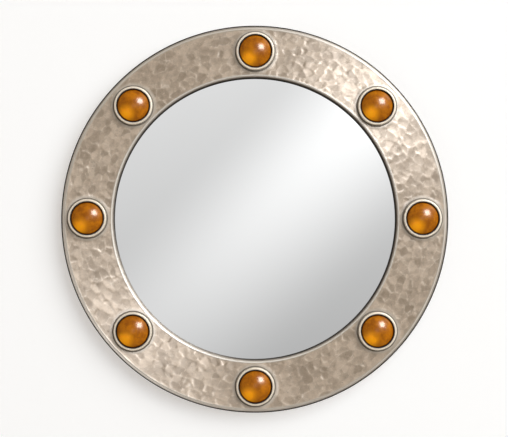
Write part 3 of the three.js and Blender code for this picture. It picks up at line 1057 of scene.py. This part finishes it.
def worn_highlight_share(point):
    """How bright a point of the ring is along the crests of the lip and step: wear with a painted
    highlight.
    """
    radius = math.hypot(point.x, point.z)
    lip_crest = FLAT_END - CREST_INSET
    step_crest = FLANGE_START - FLANGE_STEP / 2
    lip = 1 - ease(abs(radius - lip_crest), *LIP_HIGHLIGHT)
    step = 1 - ease(abs(radius - step_crest), *STEP_HIGHLIGHT)
    return max(lip, STEP_HIGHLIGHT_MOST * step)


def hammering_tree():
    """Dishes the beaten face: shallow marks with creases where they meet, on a broad swell."""
    tree, given, out = new_group(
        "hammering",
        "GeometryNodeTree",
        {
            "Geometry": "Geometry",
            "Mark Depth": "Float",
            "Mark Lean": "Float",
            "Swell Size": "Float",
            "Swell Depth": "Float",
            "Material": "Material",
        },
        {"Geometry": "Geometry"},
    )
    position = tree.nodes.new("GeometryNodeInputPosition").outputs[0]
    height, lean, _, _ = hammer_marks(tree, position)
    swell = noise(tree, position, calc(tree, "DIVIDE", 1.0, given["Swell Size"]), detail=1.0)
    sunk = calc(tree, "MULTIPLY", calc(tree, "SUBTRACT", 1.0, height), given["Mark Depth"])
    sunk = calc(tree, "MULTIPLY_ADD", lean, given["Mark Lean"], sunk)
    sunk = calc(tree, "MULTIPLY_ADD", swell, given["Swell Depth"], sunk)
    sunk = calc(tree, "MAXIMUM", sunk, 0.0)
    beaten = add(tree, "GeometryNodeInputNamedAttribute", {"Name": "beaten"}, data_type="FLOAT")
    inwards = join_vector(tree, Y=calc(tree, "MULTIPLY", sunk, beaten.outputs[0]))
    moved = add(tree, "GeometryNodeSetPosition", {"Geometry": given["Geometry"], "Offset": inwards})
    close_tree(tree, out, moved.outputs[0], given["Material"])
    return tree


def hammered_ring():
    """The face, lip, rolled edge and hem, beaten all over the open face."""
    section = [*outer_edge_section(), *face_section(), *lip_section(), *inner_side_section()]
    piece = turned("hammered_ring", section, RING_SEGMENTS, loop=True)
    bezels = [(node_place(node), node_radius(node)) for node in numbered("bezel")]
    store(piece, "beaten", lambda point: beaten_share(point, bezels))
    store(piece, "painted_shade", painted_shade_share)
    store(piece, "worn_highlight", worn_highlight_share)
    settle(piece, hammering_tree(), {
        "Mark Depth": MARK_DEPTH,
        "Mark Lean": MARK_LEAN,
        "Swell Size": SWELL_SIZE,
        "Swell Depth": SWELL_DEPTH,
        "Material": MATERIALS["hammered_metal"],
    })
    dress(piece, "hammered_metal", "frame", "frame_face")


# ---------------------------------------------------------------- bezels and cabochons

BEZEL_SEGMENTS = 72
BEZEL_FOOT_SPREAD = 1.8 * MM
BEZEL_FOOT_HEIGHT = 0.9 * MM
BEZEL_RIM_WIDTH = 3.3 * MM
BEZEL_FLOOR = 1.5 * MM
BEZEL_GAP = 0.3 * MM               # between the face and the cup's underside
BOSS_RADIUS = 6 * MM
BOSS_CORNER = 0.5 * MM
TAP_RADIUS = 2.3 * MM
TAP_CORNER = 0.3 * MM
TAP_END = 1 * MM                   # short of the face, where the tapped hole stops
FOOT_LOWER_CORNER = 0.2 * MM
FOOT_UPPER_CORNER = 0.45 * MM
RIM_FOOT_CORNER = 0.4 * MM
RIM_OUTER_CORNER = 1.5 * MM
RIM_INNER_CORNER = 0.7 * MM
CUP_FLOOR_CORNER = 0.3 * MM
# Painted shade down in the cup, and a painted contact shadow up from the foot.
CUP_SHADE = (0.55 * MM, 0.8 * MM)   # past the bore, full and gone
FOOT_SHADE = (0.1 * MM, 1.5 * MM)   # up the rim past the foot, full and gone
FOOT_SHADE_MOST = 0.8


def bezel_cup(node):
    """A turned cup with a rounded rim, a spread foot and a tapped boss."""
    place, foot = node_place(node), node_radius(node)
    boss_end, crest = node_depths(node)
    rim = foot - BEZEL_FOOT_SPREAD
    bore = rim - BEZEL_RIM_WIDTH
    under = FACE_DEPTH + BEZEL_GAP
    floor = under + BEZEL_FLOOR
    foot_top = under + BEZEL_FOOT_HEIGHT
    tap = FACE_DEPTH - TAP_END
    section = rounded([
        (0, tap, 0),
        (TAP_RADIUS, tap, 0),
        (TAP_RADIUS, boss_end, TAP_CORNER),
        (BOSS_RADIUS, boss_end, BOSS_CORNER),
        (BOSS_RADIUS, under, 0),
        (foot, under, FOOT_LOWER_CORNER),
        (foot, foot_top, FOOT_UPPER_CORNER),
        (rim, foot_top, RIM_FOOT_CORNER),
        (rim, crest, RIM_OUTER_CORNER),
        (bore, crest, RIM_INNER_CORNER),
        (bore, floor, CUP_FLOOR_CORNER),
        (0, floor, 0),
    ], steps=5)
    piece = turned(f"{node}_cup", section, BEZEL_SEGMENTS, place)

    def cup_shade_share(point):
        """Painted shade: 1 down in the cup, less in the corner between rim and foot, 0 where polished.
        """
        radius = math.hypot(point.x - place[0], point.z - place[1])
        if -point.y <= under:
            return 0.0
        if radius > bore + BEZEL_RIM_WIDTH / 2:
            return FOOT_SHADE_MOST * (1 - ease_past(-point.y, foot_top, FOOT_SHADE))
        return 1 - ease_past(radius, bore, CUP_SHADE)

    store_local(piece, place, 1.0)
    # The stored share is painted shade.
    store(piece, "sunk", cup_shade_share)
    dress(piece, "bezel_metal", "frame", node)


CABOCHON_DOME_RADIUS = 30 * MM
GIRDLE_CORNER = 0.5 * MM


def glass_cabochon(node):
    """A polished dome on a short straight girdle."""
    place, radius = node_place(node), node_radius(node)
    base, apex = node_depths(node)
    centre = apex - CABOCHON_DOME_RADIUS
    girdle = math.degrees(math.acos(radius / CABOCHON_DOME_RADIUS))
    dome = arc((0, centre), CABOCHON_DOME_RADIUS, girdle, 90, steps=18)
    dome[-1] = (0, apex)
    foot = rounded([(0, base, 0), (radius, base, GIRDLE_CORNER), (radius, dome[0][1], 0)])
    piece = turned(f"{node}_dome", [*foot, *dome[1:]], BEZEL_SEGMENTS, place)
    store_local(piece, place, radius)
    dress(piece, "amber_glass", "frame", node)


# ---------------------------------------------------------------- mirror and boards

DISC_SEGMENTS = 180
GLASS_EDGE = 0.6 * MM
BACK_PANEL_EDGE = 0.4 * MM
EDGE_SLANT = 4                     # width of an eased edge against its height


def plain_disc(name, node, slot_name, edge):
    """A round sheet with its edges eased."""
    radius = node_radius(node)
    rear, front = node_depths(node)
    flat = radius - EDGE_SLANT * edge
    section = rounded([
        (0, rear, 0),
        (flat, rear, 0),
        (radius, rear, edge),
        (radius, front, edge),
        (flat, front, 0),
        (0, front, 0),
    ], steps=3)
    dress(turned(name, section, DISC_SEGMENTS), slot_name, "frame", node)


# ---------------------------------------------------------------- screws

SCREW_SEGMENTS = 40
HEAD_STEPS = 10
HEAD_HEIGHT = 0.72                 # of the head's radius
HEAD_SHARE = 0.25                  # of the screw's length, the most that the head takes up
HEAD_CROWN = 0.62                  # of its height, taken up by the domed top
HEAD_CURVE = 2.6                   # how flat the dome is in the middle
SHANK_RADIUS = 0.5                 # of the head's radius
TIP_LENGTH = 2                     # in radii of the shank
RECESS_REACH = 0.62                # of the head's radius
RECESS_REACH_EDGE = 0.8            # of the reach, where the recess starts to rise
RECESS_WIDTH = 0.2                 # of the head's radius
RECESS_WIDTH_EDGE = 0.55           # of the width, where the recess starts to rise
RECESS_DEPTH = 0.5                 # of the head's height


def recess_at(point, head_radius):
    """How deep the cross recess is at a point of the head, from 0 to 1."""
    across, along = sorted((abs(point.x), abs(point.z)))
    width = RECESS_WIDTH * head_radius
    reach = RECESS_REACH * head_radius
    narrow = 1 - ease(across, width * RECESS_WIDTH_EDGE, width)
    return narrow * (1 - ease(along, reach * RECESS_REACH_EDGE, reach))


def screw_pattern(node):
    """One screw of a node's size at the origin: domed head with a cross recess, then a shank."""
    radius = node_radius(node)
    rear, front = node_depths(node)
    length = front - rear
    head = min(HEAD_HEIGHT * radius, HEAD_SHARE * length)
    shank = SHANK_RADIUS * radius
    profile = [(0, 0)]
    for step in range(1, HEAD_STEPS + 1):
        share = step / HEAD_STEPS
        profile.append((radius * share, head * HEAD_CROWN * share ** HEAD_CURVE))
    profile += [(radius, head), (shank, head), (shank, length - TIP_LENGTH * shank), (0, length)]
    rings = [ring_of(across, down, SCREW_SEGMENTS) for across, down in profile]
    for ring in rings[: HEAD_STEPS + 1]:
        for point in ring:
            point.y -= recess_at(point, radius) * RECESS_DEPTH * head
    return skin("screw_pattern", rings)


def scatter_tree():
    """Puts a screw at each point, each with its cross turned its own way."""
    tree, given, out = new_group(
        "driven_screws",
        "GeometryNodeTree",
        {"Geometry": "Geometry", "Screw": "Object", "Seed": "Int", "Material": "Material"},
        {"Geometry": "Geometry"},
    )
    screw = add(tree, "GeometryNodeObjectInfo", {"Object": given["Screw"]})
    turn = add(tree, "FunctionNodeRandomValue", {2: 0.0, 3: math.pi, "Seed": given["Seed"]},
               data_type="FLOAT")
    spin = join_vector(tree, Y=turn.outputs[1])
    placed = add(tree, "GeometryNodeInstanceOnPoints", {
        "Points": given["Geometry"],
        "Instance": screw.outputs["Geometry"],
        "Rotation": add(tree, "FunctionNodeEulerToRotation", {0: spin}).outputs[0],
    })
    close_tree(tree, out, placed.outputs[0], given["Material"])
    return tree


def driven_screws(name, nodes, tree, seed):
    """All the screws of one kind, as one piece."""
    rear = node_depths(nodes[0])[0]
    points = [Vector((x, -rear, z)) for x, z in map(node_place, nodes)]
    piece = new_object(name, new_mesh(name, points, []))
    pattern = screw_pattern(nodes[0])
    settle(piece, tree, {"Screw": pattern, "Seed": seed, "Material": MATERIALS["plated_steel"]})
    bpy.data.objects.remove(pattern)
    dress(piece, "plated_steel", "frame", *nodes)


# ---------------------------------------------------------------- turn buttons

BUTTON_HEAD_RADIUS = 5.5 * MM
BUTTON_NOSE_RADIUS = 4.2 * MM
BUTTON_REACH = 16 * MM
BUTTON_HOLE_RADIUS = 1.9 * MM
BUTTON_EDGE = 0.35 * MM
BUTTON_BEVEL = 0.3 * BUTTON_EDGE   # where the eased edge bends, from both faces
BUTTON_SEGMENTS = 72


def button_outline(angle, inset):
    """Distance from the pivot to a button's edge, at an angle from the way its nose points."""
    head = BUTTON_HEAD_RADIUS - inset
    nose = BUTTON_NOSE_RADIUS - inset
    spread = math.acos((head - nose) / BUTTON_REACH)
    touch = BUTTON_REACH + nose * math.cos(spread), nose * math.sin(spread)
    lean = abs(math.remainder(angle, 2 * math.pi))
    if lean >= spread:
        return head
    if lean >= math.atan2(touch[1], touch[0]):
        return head / math.cos(lean - spread)
    across = BUTTON_REACH * math.sin(lean)
    return BUTTON_REACH * math.cos(lean) + math.sqrt(nose ** 2 - across ** 2)


def turn_button(node):
    """A stamped bar with eased edges, on its pivot, its nose towards the mirror's centre."""
    low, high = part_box(node)
    pivot_x, pivot_z = node_place(f"turn_button_screw_{node.rpartition('_')[2]}")
    towards = math.atan2(-pivot_z, -pivot_x)
    front, rear = low.y, high.y

    def outline(y, inset=None):
        """The bar's outline at a height, drawn in by the inset, or the hole's without one."""
        points = []
        for a in round_angles(BUTTON_SEGMENTS):
            reach = BUTTON_HOLE_RADIUS if inset is None else button_outline(a, inset)
            way = a + towards
            points.append(Vector((pivot_x + reach * math.cos(way), y, pivot_z + reach * math.sin(way))))
        return points

    rings = [
        outline(front),
        outline(front, BUTTON_EDGE),
        outline(front + BUTTON_BEVEL, BUTTON_BEVEL),
        outline(front + BUTTON_EDGE, 0.0),
        outline(rear - BUTTON_EDGE, 0.0),
        outline(rear - BUTTON_BEVEL, BUTTON_BEVEL),
        outline(rear, BUTTON_EDGE),
        outline(rear),
    ]
    dress(skin(f"{node}_bar", rings, loop=True), "plated_steel", node, node)


# ---------------------------------------------------------------- hangers and bumpers

STRAP_THICKNESS = 1 * MM
STRAP_CORNER = 3 * MM
STRAP_CORNER_STEPS = 6
STRAP_EDGE = 0.2 * MM
KNUCKLE_TURN = 305                 # degrees that the strap wraps round the bar
KNUCKLE_STEPS = 28
WIRE_RADIUS = 1.25 * MM
WIRE_SEGMENTS = 16
D_CORNER = 1.6 * MM
D_CORNER_STEPS = 6
D_BOW_STEPS = 32


def flat_section(centre, along, half_width):
    """The strap's section, square to the way it runs in the YZ plane, with its edges eased."""
    out = Vector((0.0, along[1], -along[0]))
    across = Vector((1.0, 0.0, 0.0))
    half = STRAP_THICKNESS / 2
    edge = min(STRAP_EDGE, half_width / 2)
    corners = []
    for side, face in ((1, 1), (1, -1), (-1, -1), (-1, 1)):
        pair = [(half_width - edge, half), (half_width, half - edge)]
        pair = pair if side == face else pair[::-1]
        corners += [(side * a, face * t) for a, t in pair]
    return [centre + across * a + out * t for a, t in corners]


def hanger_strap(node, bar):
    """A strip laid flat on the ring and rolled round the bar of its D."""
    low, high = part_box(node)
    middle = (low.x + high.x) / 2
    half_width = (high.x - low.x) / 2
    line_y = low.y + STRAP_THICKNESS / 2
    wrap = bar.y - line_y
    rings = []
    for step in range(STRAP_CORNER_STEPS + 1):
        along = STRAP_CORNER * (1 - math.cos(math.pi / 2 * step / STRAP_CORNER_STEPS))
        narrow = STRAP_CORNER - math.sqrt(STRAP_CORNER ** 2 - (STRAP_CORNER - along) ** 2)
        centre = Vector((middle, line_y, low.z + along))
        rings.append(flat_section(centre, (0.0, 1.0), half_width - narrow))
    for step in range(KNUCKLE_STEPS + 1):
        turn = math.radians(KNUCKLE_TURN * step / KNUCKLE_STEPS)
        centre = Vector((middle, bar.y - wrap * math.cos(turn), bar.z + wrap * math.sin(turn)))
        rings.append(flat_section(centre, (math.sin(turn), math.cos(turn)), half_width))
    dress(skin(f"{node}_plate", rings), "plated_steel", "frame", node)


def d_ring(node, bar):
    """A wire D standing up from its bar."""
    low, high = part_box(node)
    half = (high.x - low.x) / 2 - WIRE_RADIUS
    leg = high.z - WIRE_RADIUS - half - bar.z
    turn = D_CORNER
    route = [
        *arc((half - turn, turn), turn, -90, 0, D_CORNER_STEPS),
        *arc((0, leg), half, 0, 180, D_BOW_STEPS),
        *arc((turn - half, turn), turn, 180, 270, D_CORNER_STEPS),
    ]
    rings = []
    for index, (x, z) in enumerate(route):
        before, after = Vector(route[index - 1]), Vector(route[(index + 1) % len(route)])
        way = (after - before).normalized()
        side = Vector((way.y, 0.0, -way.x)) * WIRE_RADIUS
        centre = Vector((bar.x + x, bar.y, bar.z + z))
        rings.append([
            centre + side * math.cos(a) + Vector((0.0, WIRE_RADIUS * math.sin(a), 0.0))
            for a in round_angles(WIRE_SEGMENTS)
        ])
    dress(skin(f"{node}_wire", rings, loop=True), "plated_steel", node, node)


def hanger(side):
    """One D-ring hanger: its strap, and the D that swings in it."""
    low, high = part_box(f"hanger_ring_{side}")
    bar = Vector(((low.x + high.x) / 2, (low.y + high.y) / 2, low.z + WIRE_RADIUS))
    hanger_strap(f"hanger_strap_{side}", bar)
    d_ring(f"hanger_ring_{side}", bar)


BUMPER_SEGMENTS = 48
BUMPER_DIMPLE_DEPTH = 0.5 * MM
BUMPER_DIMPLE_FLOOR = 0.35         # radius of its flat floor, of the bumper's
BUMPER_DIMPLE_RADIUS = 0.5         # of the bumper's
BUMPER_DIMPLE_CORNER = 0.6 * MM
BUMPER_REAR_CORNER = 1.3 * MM
BUMPER_FRONT_CORNER = 0.3 * MM


def wall_bumper(node):
    """A moulded disc with a rounded edge and a shallow dimple."""
    place, radius = node_place(node), node_radius(node)
    rear, front = node_depths(node)
    section = rounded([
        (0, rear + BUMPER_DIMPLE_DEPTH, 0),
        (radius * BUMPER_DIMPLE_FLOOR, rear + BUMPER_DIMPLE_DEPTH, BUMPER_DIMPLE_CORNER),
        (radius * BUMPER_DIMPLE_RADIUS, rear, BUMPER_DIMPLE_CORNER),
        (radius, rear, BUMPER_REAR_CORNER),
        (radius, front, BUMPER_FRONT_CORNER),
        (0, front, 0),
    ])
    dress(turned(f"{node}_pad", section, BUMPER_SEGMENTS, place), "rubber", "frame", node)


# ---------------------------------------------------------------- stage and lamps

PALE_TONE = colour(0.66, 0.65, 0.64)
PALE_GLOW = colour(1.0, 0.98, 0.96)


def backdrop_material(name, lift):
    """Pale and matt, lifted towards white for the camera, and not there from behind."""
    material = bpy.data.materials.new(name)
    material.use_nodes = True
    tree = material.node_tree
    tree.nodes.clear()
    place = tree.nodes.new("ShaderNodeTexCoord").outputs["Object"]
    base = uneven(tree, place, PALE_TONE, scale=3.0, amount=0.004)
    matt = add(tree, "ShaderNodeBsdfDiffuse", {"Color": base}).outputs[0]
    path = tree.nodes.new("ShaderNodeLightPath").outputs
    strength = calc(tree, "MULTIPLY", path["Is Camera Ray"], lift)
    glow = add(tree, "ShaderNodeEmission", {"Color": PALE_GLOW, "Strength": strength}).outputs[0]
    lit = add(tree, "ShaderNodeAddShader", {0: matt, 1: glow}).outputs[0]
    behind = tree.nodes.new("ShaderNodeNewGeometry").outputs["Backfacing"]
    clear = tree.nodes.new("ShaderNodeBsdfTransparent").outputs[0]
    seen = add(tree, "ShaderNodeMixShader", {0: behind, 1: lit, 2: clear}).outputs[0]
    add(tree, "ShaderNodeOutputMaterial", {"Surface": seen})
    return material


def backdrop(name, corners, lift):
    """A flat part of the stage that only the camera sees."""
    mesh = new_mesh(name, corners, [tuple(range(len(corners)))])
    sheet = new_object(name, mesh)
    mesh.materials.append(backdrop_material(name, lift))
    for unseen in ("visible_diffuse", "visible_glossy", "visible_transmission", "visible_shadow"):
        setattr(sheet, unseen, False)


def stage():
    """The pale wall behind the mirror, facing it, and a pale floor below."""
    reach = STAGE_REACH
    floor = -OUTER_RADIUS - FLOOR_DROP
    wall = BUMPER_REAR + WALL_GAP
    backdrop("wall", [
        (-reach, wall, floor), (reach, wall, floor), (reach, wall, reach), (-reach, wall, reach),
    ], WALL_LIFT)
    backdrop("floor", [
        (-reach, -reach, floor), (reach, -reach, floor), (reach, reach, floor), (-reach, reach, floor),
    ], FLOOR_LIFT)


def lamp(name, direction, distance, size, power, unseen=(), tint=WHITE):
    """A square lamp that looks at the mirror from a direction, and some rays that pass it by."""
    light = bpy.data.lights.new(name, "AREA")
    light.shape = "SQUARE"
    light.size = size
    light.energy = power
    light.color = tint
    way = off_axis(*direction)
    holder = new_object(name, light)
    holder.location = face_point(0.0, 0.0) + way * distance
    holder.rotation_euler = way.to_track_quat("Z", "Y").to_euler()
    for ray in ("visible_camera", *unseen):
        setattr(holder, ray, False)


def lamps():
    """A broad key from the upper right with its shine, a low fill, and two lamps for the back."""
    lamp("key", KEY_DIRECTION, KEY_DISTANCE, KEY_SIZE, KEY_POWER, ("visible_glossy",), KEY_TINT)
    lamp("shine", SHINE_DIRECTION, KEY_DISTANCE, SHINE_SIZE, SHINE_POWER, ("visible_diffuse",),
         SHINE_TINT)
    lamp("fill", FILL_DIRECTION, FILL_DISTANCE, FILL_SIZE, FILL_POWER, ("visible_glossy",))
    for number, direction in enumerate(REAR_DIRECTIONS, 1):
        lamp(f"rear_{number}", direction, REAR_DISTANCE, REAR_SIZE, REAR_POWER)


# ---------------------------------------------------------------- world and camera

# What metal and glass see of the studio. Across the mirror a bright band runs up to the right
# on a panel that faces it; round the panel the room is bright to the upper right, dim opposite.
PANEL_EDGE = (13.5, 9.5)           # degrees off the axis where the panel starts and is full
PANEL_LEVEL = 0.615
PANEL_FALL = 1.03                  # darker to the lower right, per unit of slope
PANEL_RISE = 0.62                  # brighter to the upper right
LEAST_DEPTH = 0.2                  # keeps slopes finite for what lies far off the axis
BAND_LEVEL = 0.30
BAND_RISE = 3.6
BAND_MIDDLE = 0.004                # across the band, in slopes off the axis
BAND_REACH = (-0.072, 0.096)
ROOM_BRIGHT = 2.5
ROOM_DIM = 0.15
ROOM_TURN = 42.0                   # the way where it is brightest, round from the right
ROOM_FOCUS = 28.0                  # how closely its brightness keeps to that way
ROOM_TINT = colour(1.0, 0.91, 0.82)


def slanted(tree, way, ahead, camera_place):
    """How far a direction lies along and across the band, in slopes off the camera's aim."""
    depth = calc(tree, "MAXIMUM", ahead, LEAST_DEPTH)
    slopes = []
    for axis, start in (("X", camera_place.x), ("Z", camera_place.z)):
        slope = calc(tree, "DIVIDE", way[axis], depth)
        slopes.append(calc(tree, "SUBTRACT", slope, -start / CAMERA_DISTANCE))
    diagonal = math.sqrt(0.5)
    along = calc(tree, "MULTIPLY", calc(tree, "ADD", *slopes), diagonal)
    across = calc(tree, "MULTIPLY", calc(tree, "SUBTRACT", *slopes), diagonal)
    return along, calc(tree, "SUBTRACT", across, BAND_MIDDLE)


def panel_light(tree, along, across):
    """The panel's brightness: a slow fall across it, with the band over that."""
    sides = [remap(tree, across, reach, 0.0) for reach in BAND_REACH]
    rising = calc(tree, "MULTIPLY_ADD", along, BAND_RISE, 1.0)
    band = calc(tree, "MULTIPLY", calc(tree, "MULTIPLY", *sides), rising)
    panel = calc(tree, "MULTIPLY_ADD", across, -PANEL_FALL, PANEL_LEVEL)
    panel = calc(tree, "MULTIPLY_ADD", along, PANEL_RISE, panel)
    return calc(tree, "MULTIPLY_ADD", band, BAND_LEVEL, panel)


def room_light(tree, way):
    """The room's brightness round the panel."""
    lean = dot(tree, way, off_axis(90.0, ROOM_TURN))
    focus = calc(tree, "POWER", calc(tree, "MAXIMUM", lean, 0.0), ROOM_FOCUS)
    return calc(tree, "MULTIPLY_ADD", focus, ROOM_BRIGHT, ROOM_DIM)


def studio_light(tree, camera_place):
    """The light that a reflecting surface sees, by direction."""
    way = tree.nodes.new("ShaderNodeTexCoord").outputs["Generated"]
    split = split_vector(tree, way)
    ahead = calc(tree, "MULTIPLY", split["Y"], -1.0)
    panel = panel_light(tree, *slanted(tree, split, ahead, camera_place))
    limits = [math.cos(math.radians(angle)) for angle in PANEL_EDGE]
    facing = remap(tree, ahead, *limits)
    values = {0: facing, 2: room_light(tree, way), 3: panel}
    blend = add(tree, "ShaderNodeMix", values, data_type="FLOAT").outputs[0]
    tint = mix_colour(tree, facing, ROOM_TINT, colour(*WHITE))
    level = calc(tree, "MAXIMUM", blend, 0.0)
    light = add(tree, "ShaderNodeVectorMath", {0: tint, "Scale": level}, operation="SCALE")
    return light.outputs[0]


def world(camera_place):
    """White to the camera, the studio to reflections, and an even soft light to all else."""
    sky = bpy.data.worlds.new("studio")
    bpy.context.scene.world = sky
    sky.use_nodes = True
    tree = sky.node_tree
    tree.nodes.clear()
    path = tree.nodes.new("ShaderNodeLightPath").outputs
    light = mix_colour(tree, path["Is Glossy Ray"], colour(*AMBIENT), studio_light(tree, camera_place))
    light = mix_colour(tree, path["Is Camera Ray"], light, colour(*WHITE))
    sky_light = add(tree, "ShaderNodeBackground", {"Color": light, "Strength": 1.0})
    add(tree, "ShaderNodeOutputWorld", {"Surface": sky_light.outputs[0]})


def camera():
    """The photograph's view: a little from below and the left, the centre on its pixel."""
    lens = bpy.data.cameras.new("camera")
    lens.sensor_width = SENSOR_WIDTH
    lens.lens = SENSOR_WIDTH * CAMERA_DISTANCE / (IMAGE_WIDTH * SCALE)
    lens.clip_start, lens.clip_end = CAMERA_REACH
    off_x = (IMAGE_WIDTH / 2 - CENTRE_PIXEL[0]) * SCALE
    off_z = (CENTRE_PIXEL[1] - IMAGE_HEIGHT / 2) * SCALE
    side, rise = math.radians(CAMERA_SIDE), math.radians(CAMERA_RISE)
    back = Vector((math.sin(side) * math.cos(rise), -math.cos(side) * math.cos(rise), math.sin(rise)))
    eye = new_object("camera", lens)
    eye.location = face_point(off_x, off_z) + back * CAMERA_DISTANCE
    eye.rotation_euler = back.to_track_quat("Z", "Y").to_euler()
    bpy.context.scene.camera = eye
    return eye.location


# ---------------------------------------------------------------- assembly

hammered_ring()
for node in numbered("bezel"):
    bezel_cup(node)
for node in numbered("cabochon"):
    glass_cabochon(node)
plain_disc("mirror_disc", "mirror_glass", "mirror", GLASS_EDGE)
plain_disc("back_panel", "back_board", "hardboard", BACK_PANEL_EDGE)
dress_node("backing_ring", "fibreboard")
dress_node("packing_sheet", "foam")

screws_tree = scatter_tree()
driven_screws("bezel_screws", numbered("bezel_screw"), screws_tree, seed=3)
driven_screws("button_screws", numbered("turn_button_screw"), screws_tree, seed=7)
driven_screws("strap_screws", numbered("hanger_screw"), screws_tree, seed=11)
for node in numbered("turn_button"):
    turn_button(node)
for side in ("left", "right"):
    hanger(side)
    wall_bumper(f"wall_bumper_{side}")

stage()
lamps()
world(camera())
bpy.context.scene.view_settings.view_transform = "Standard"
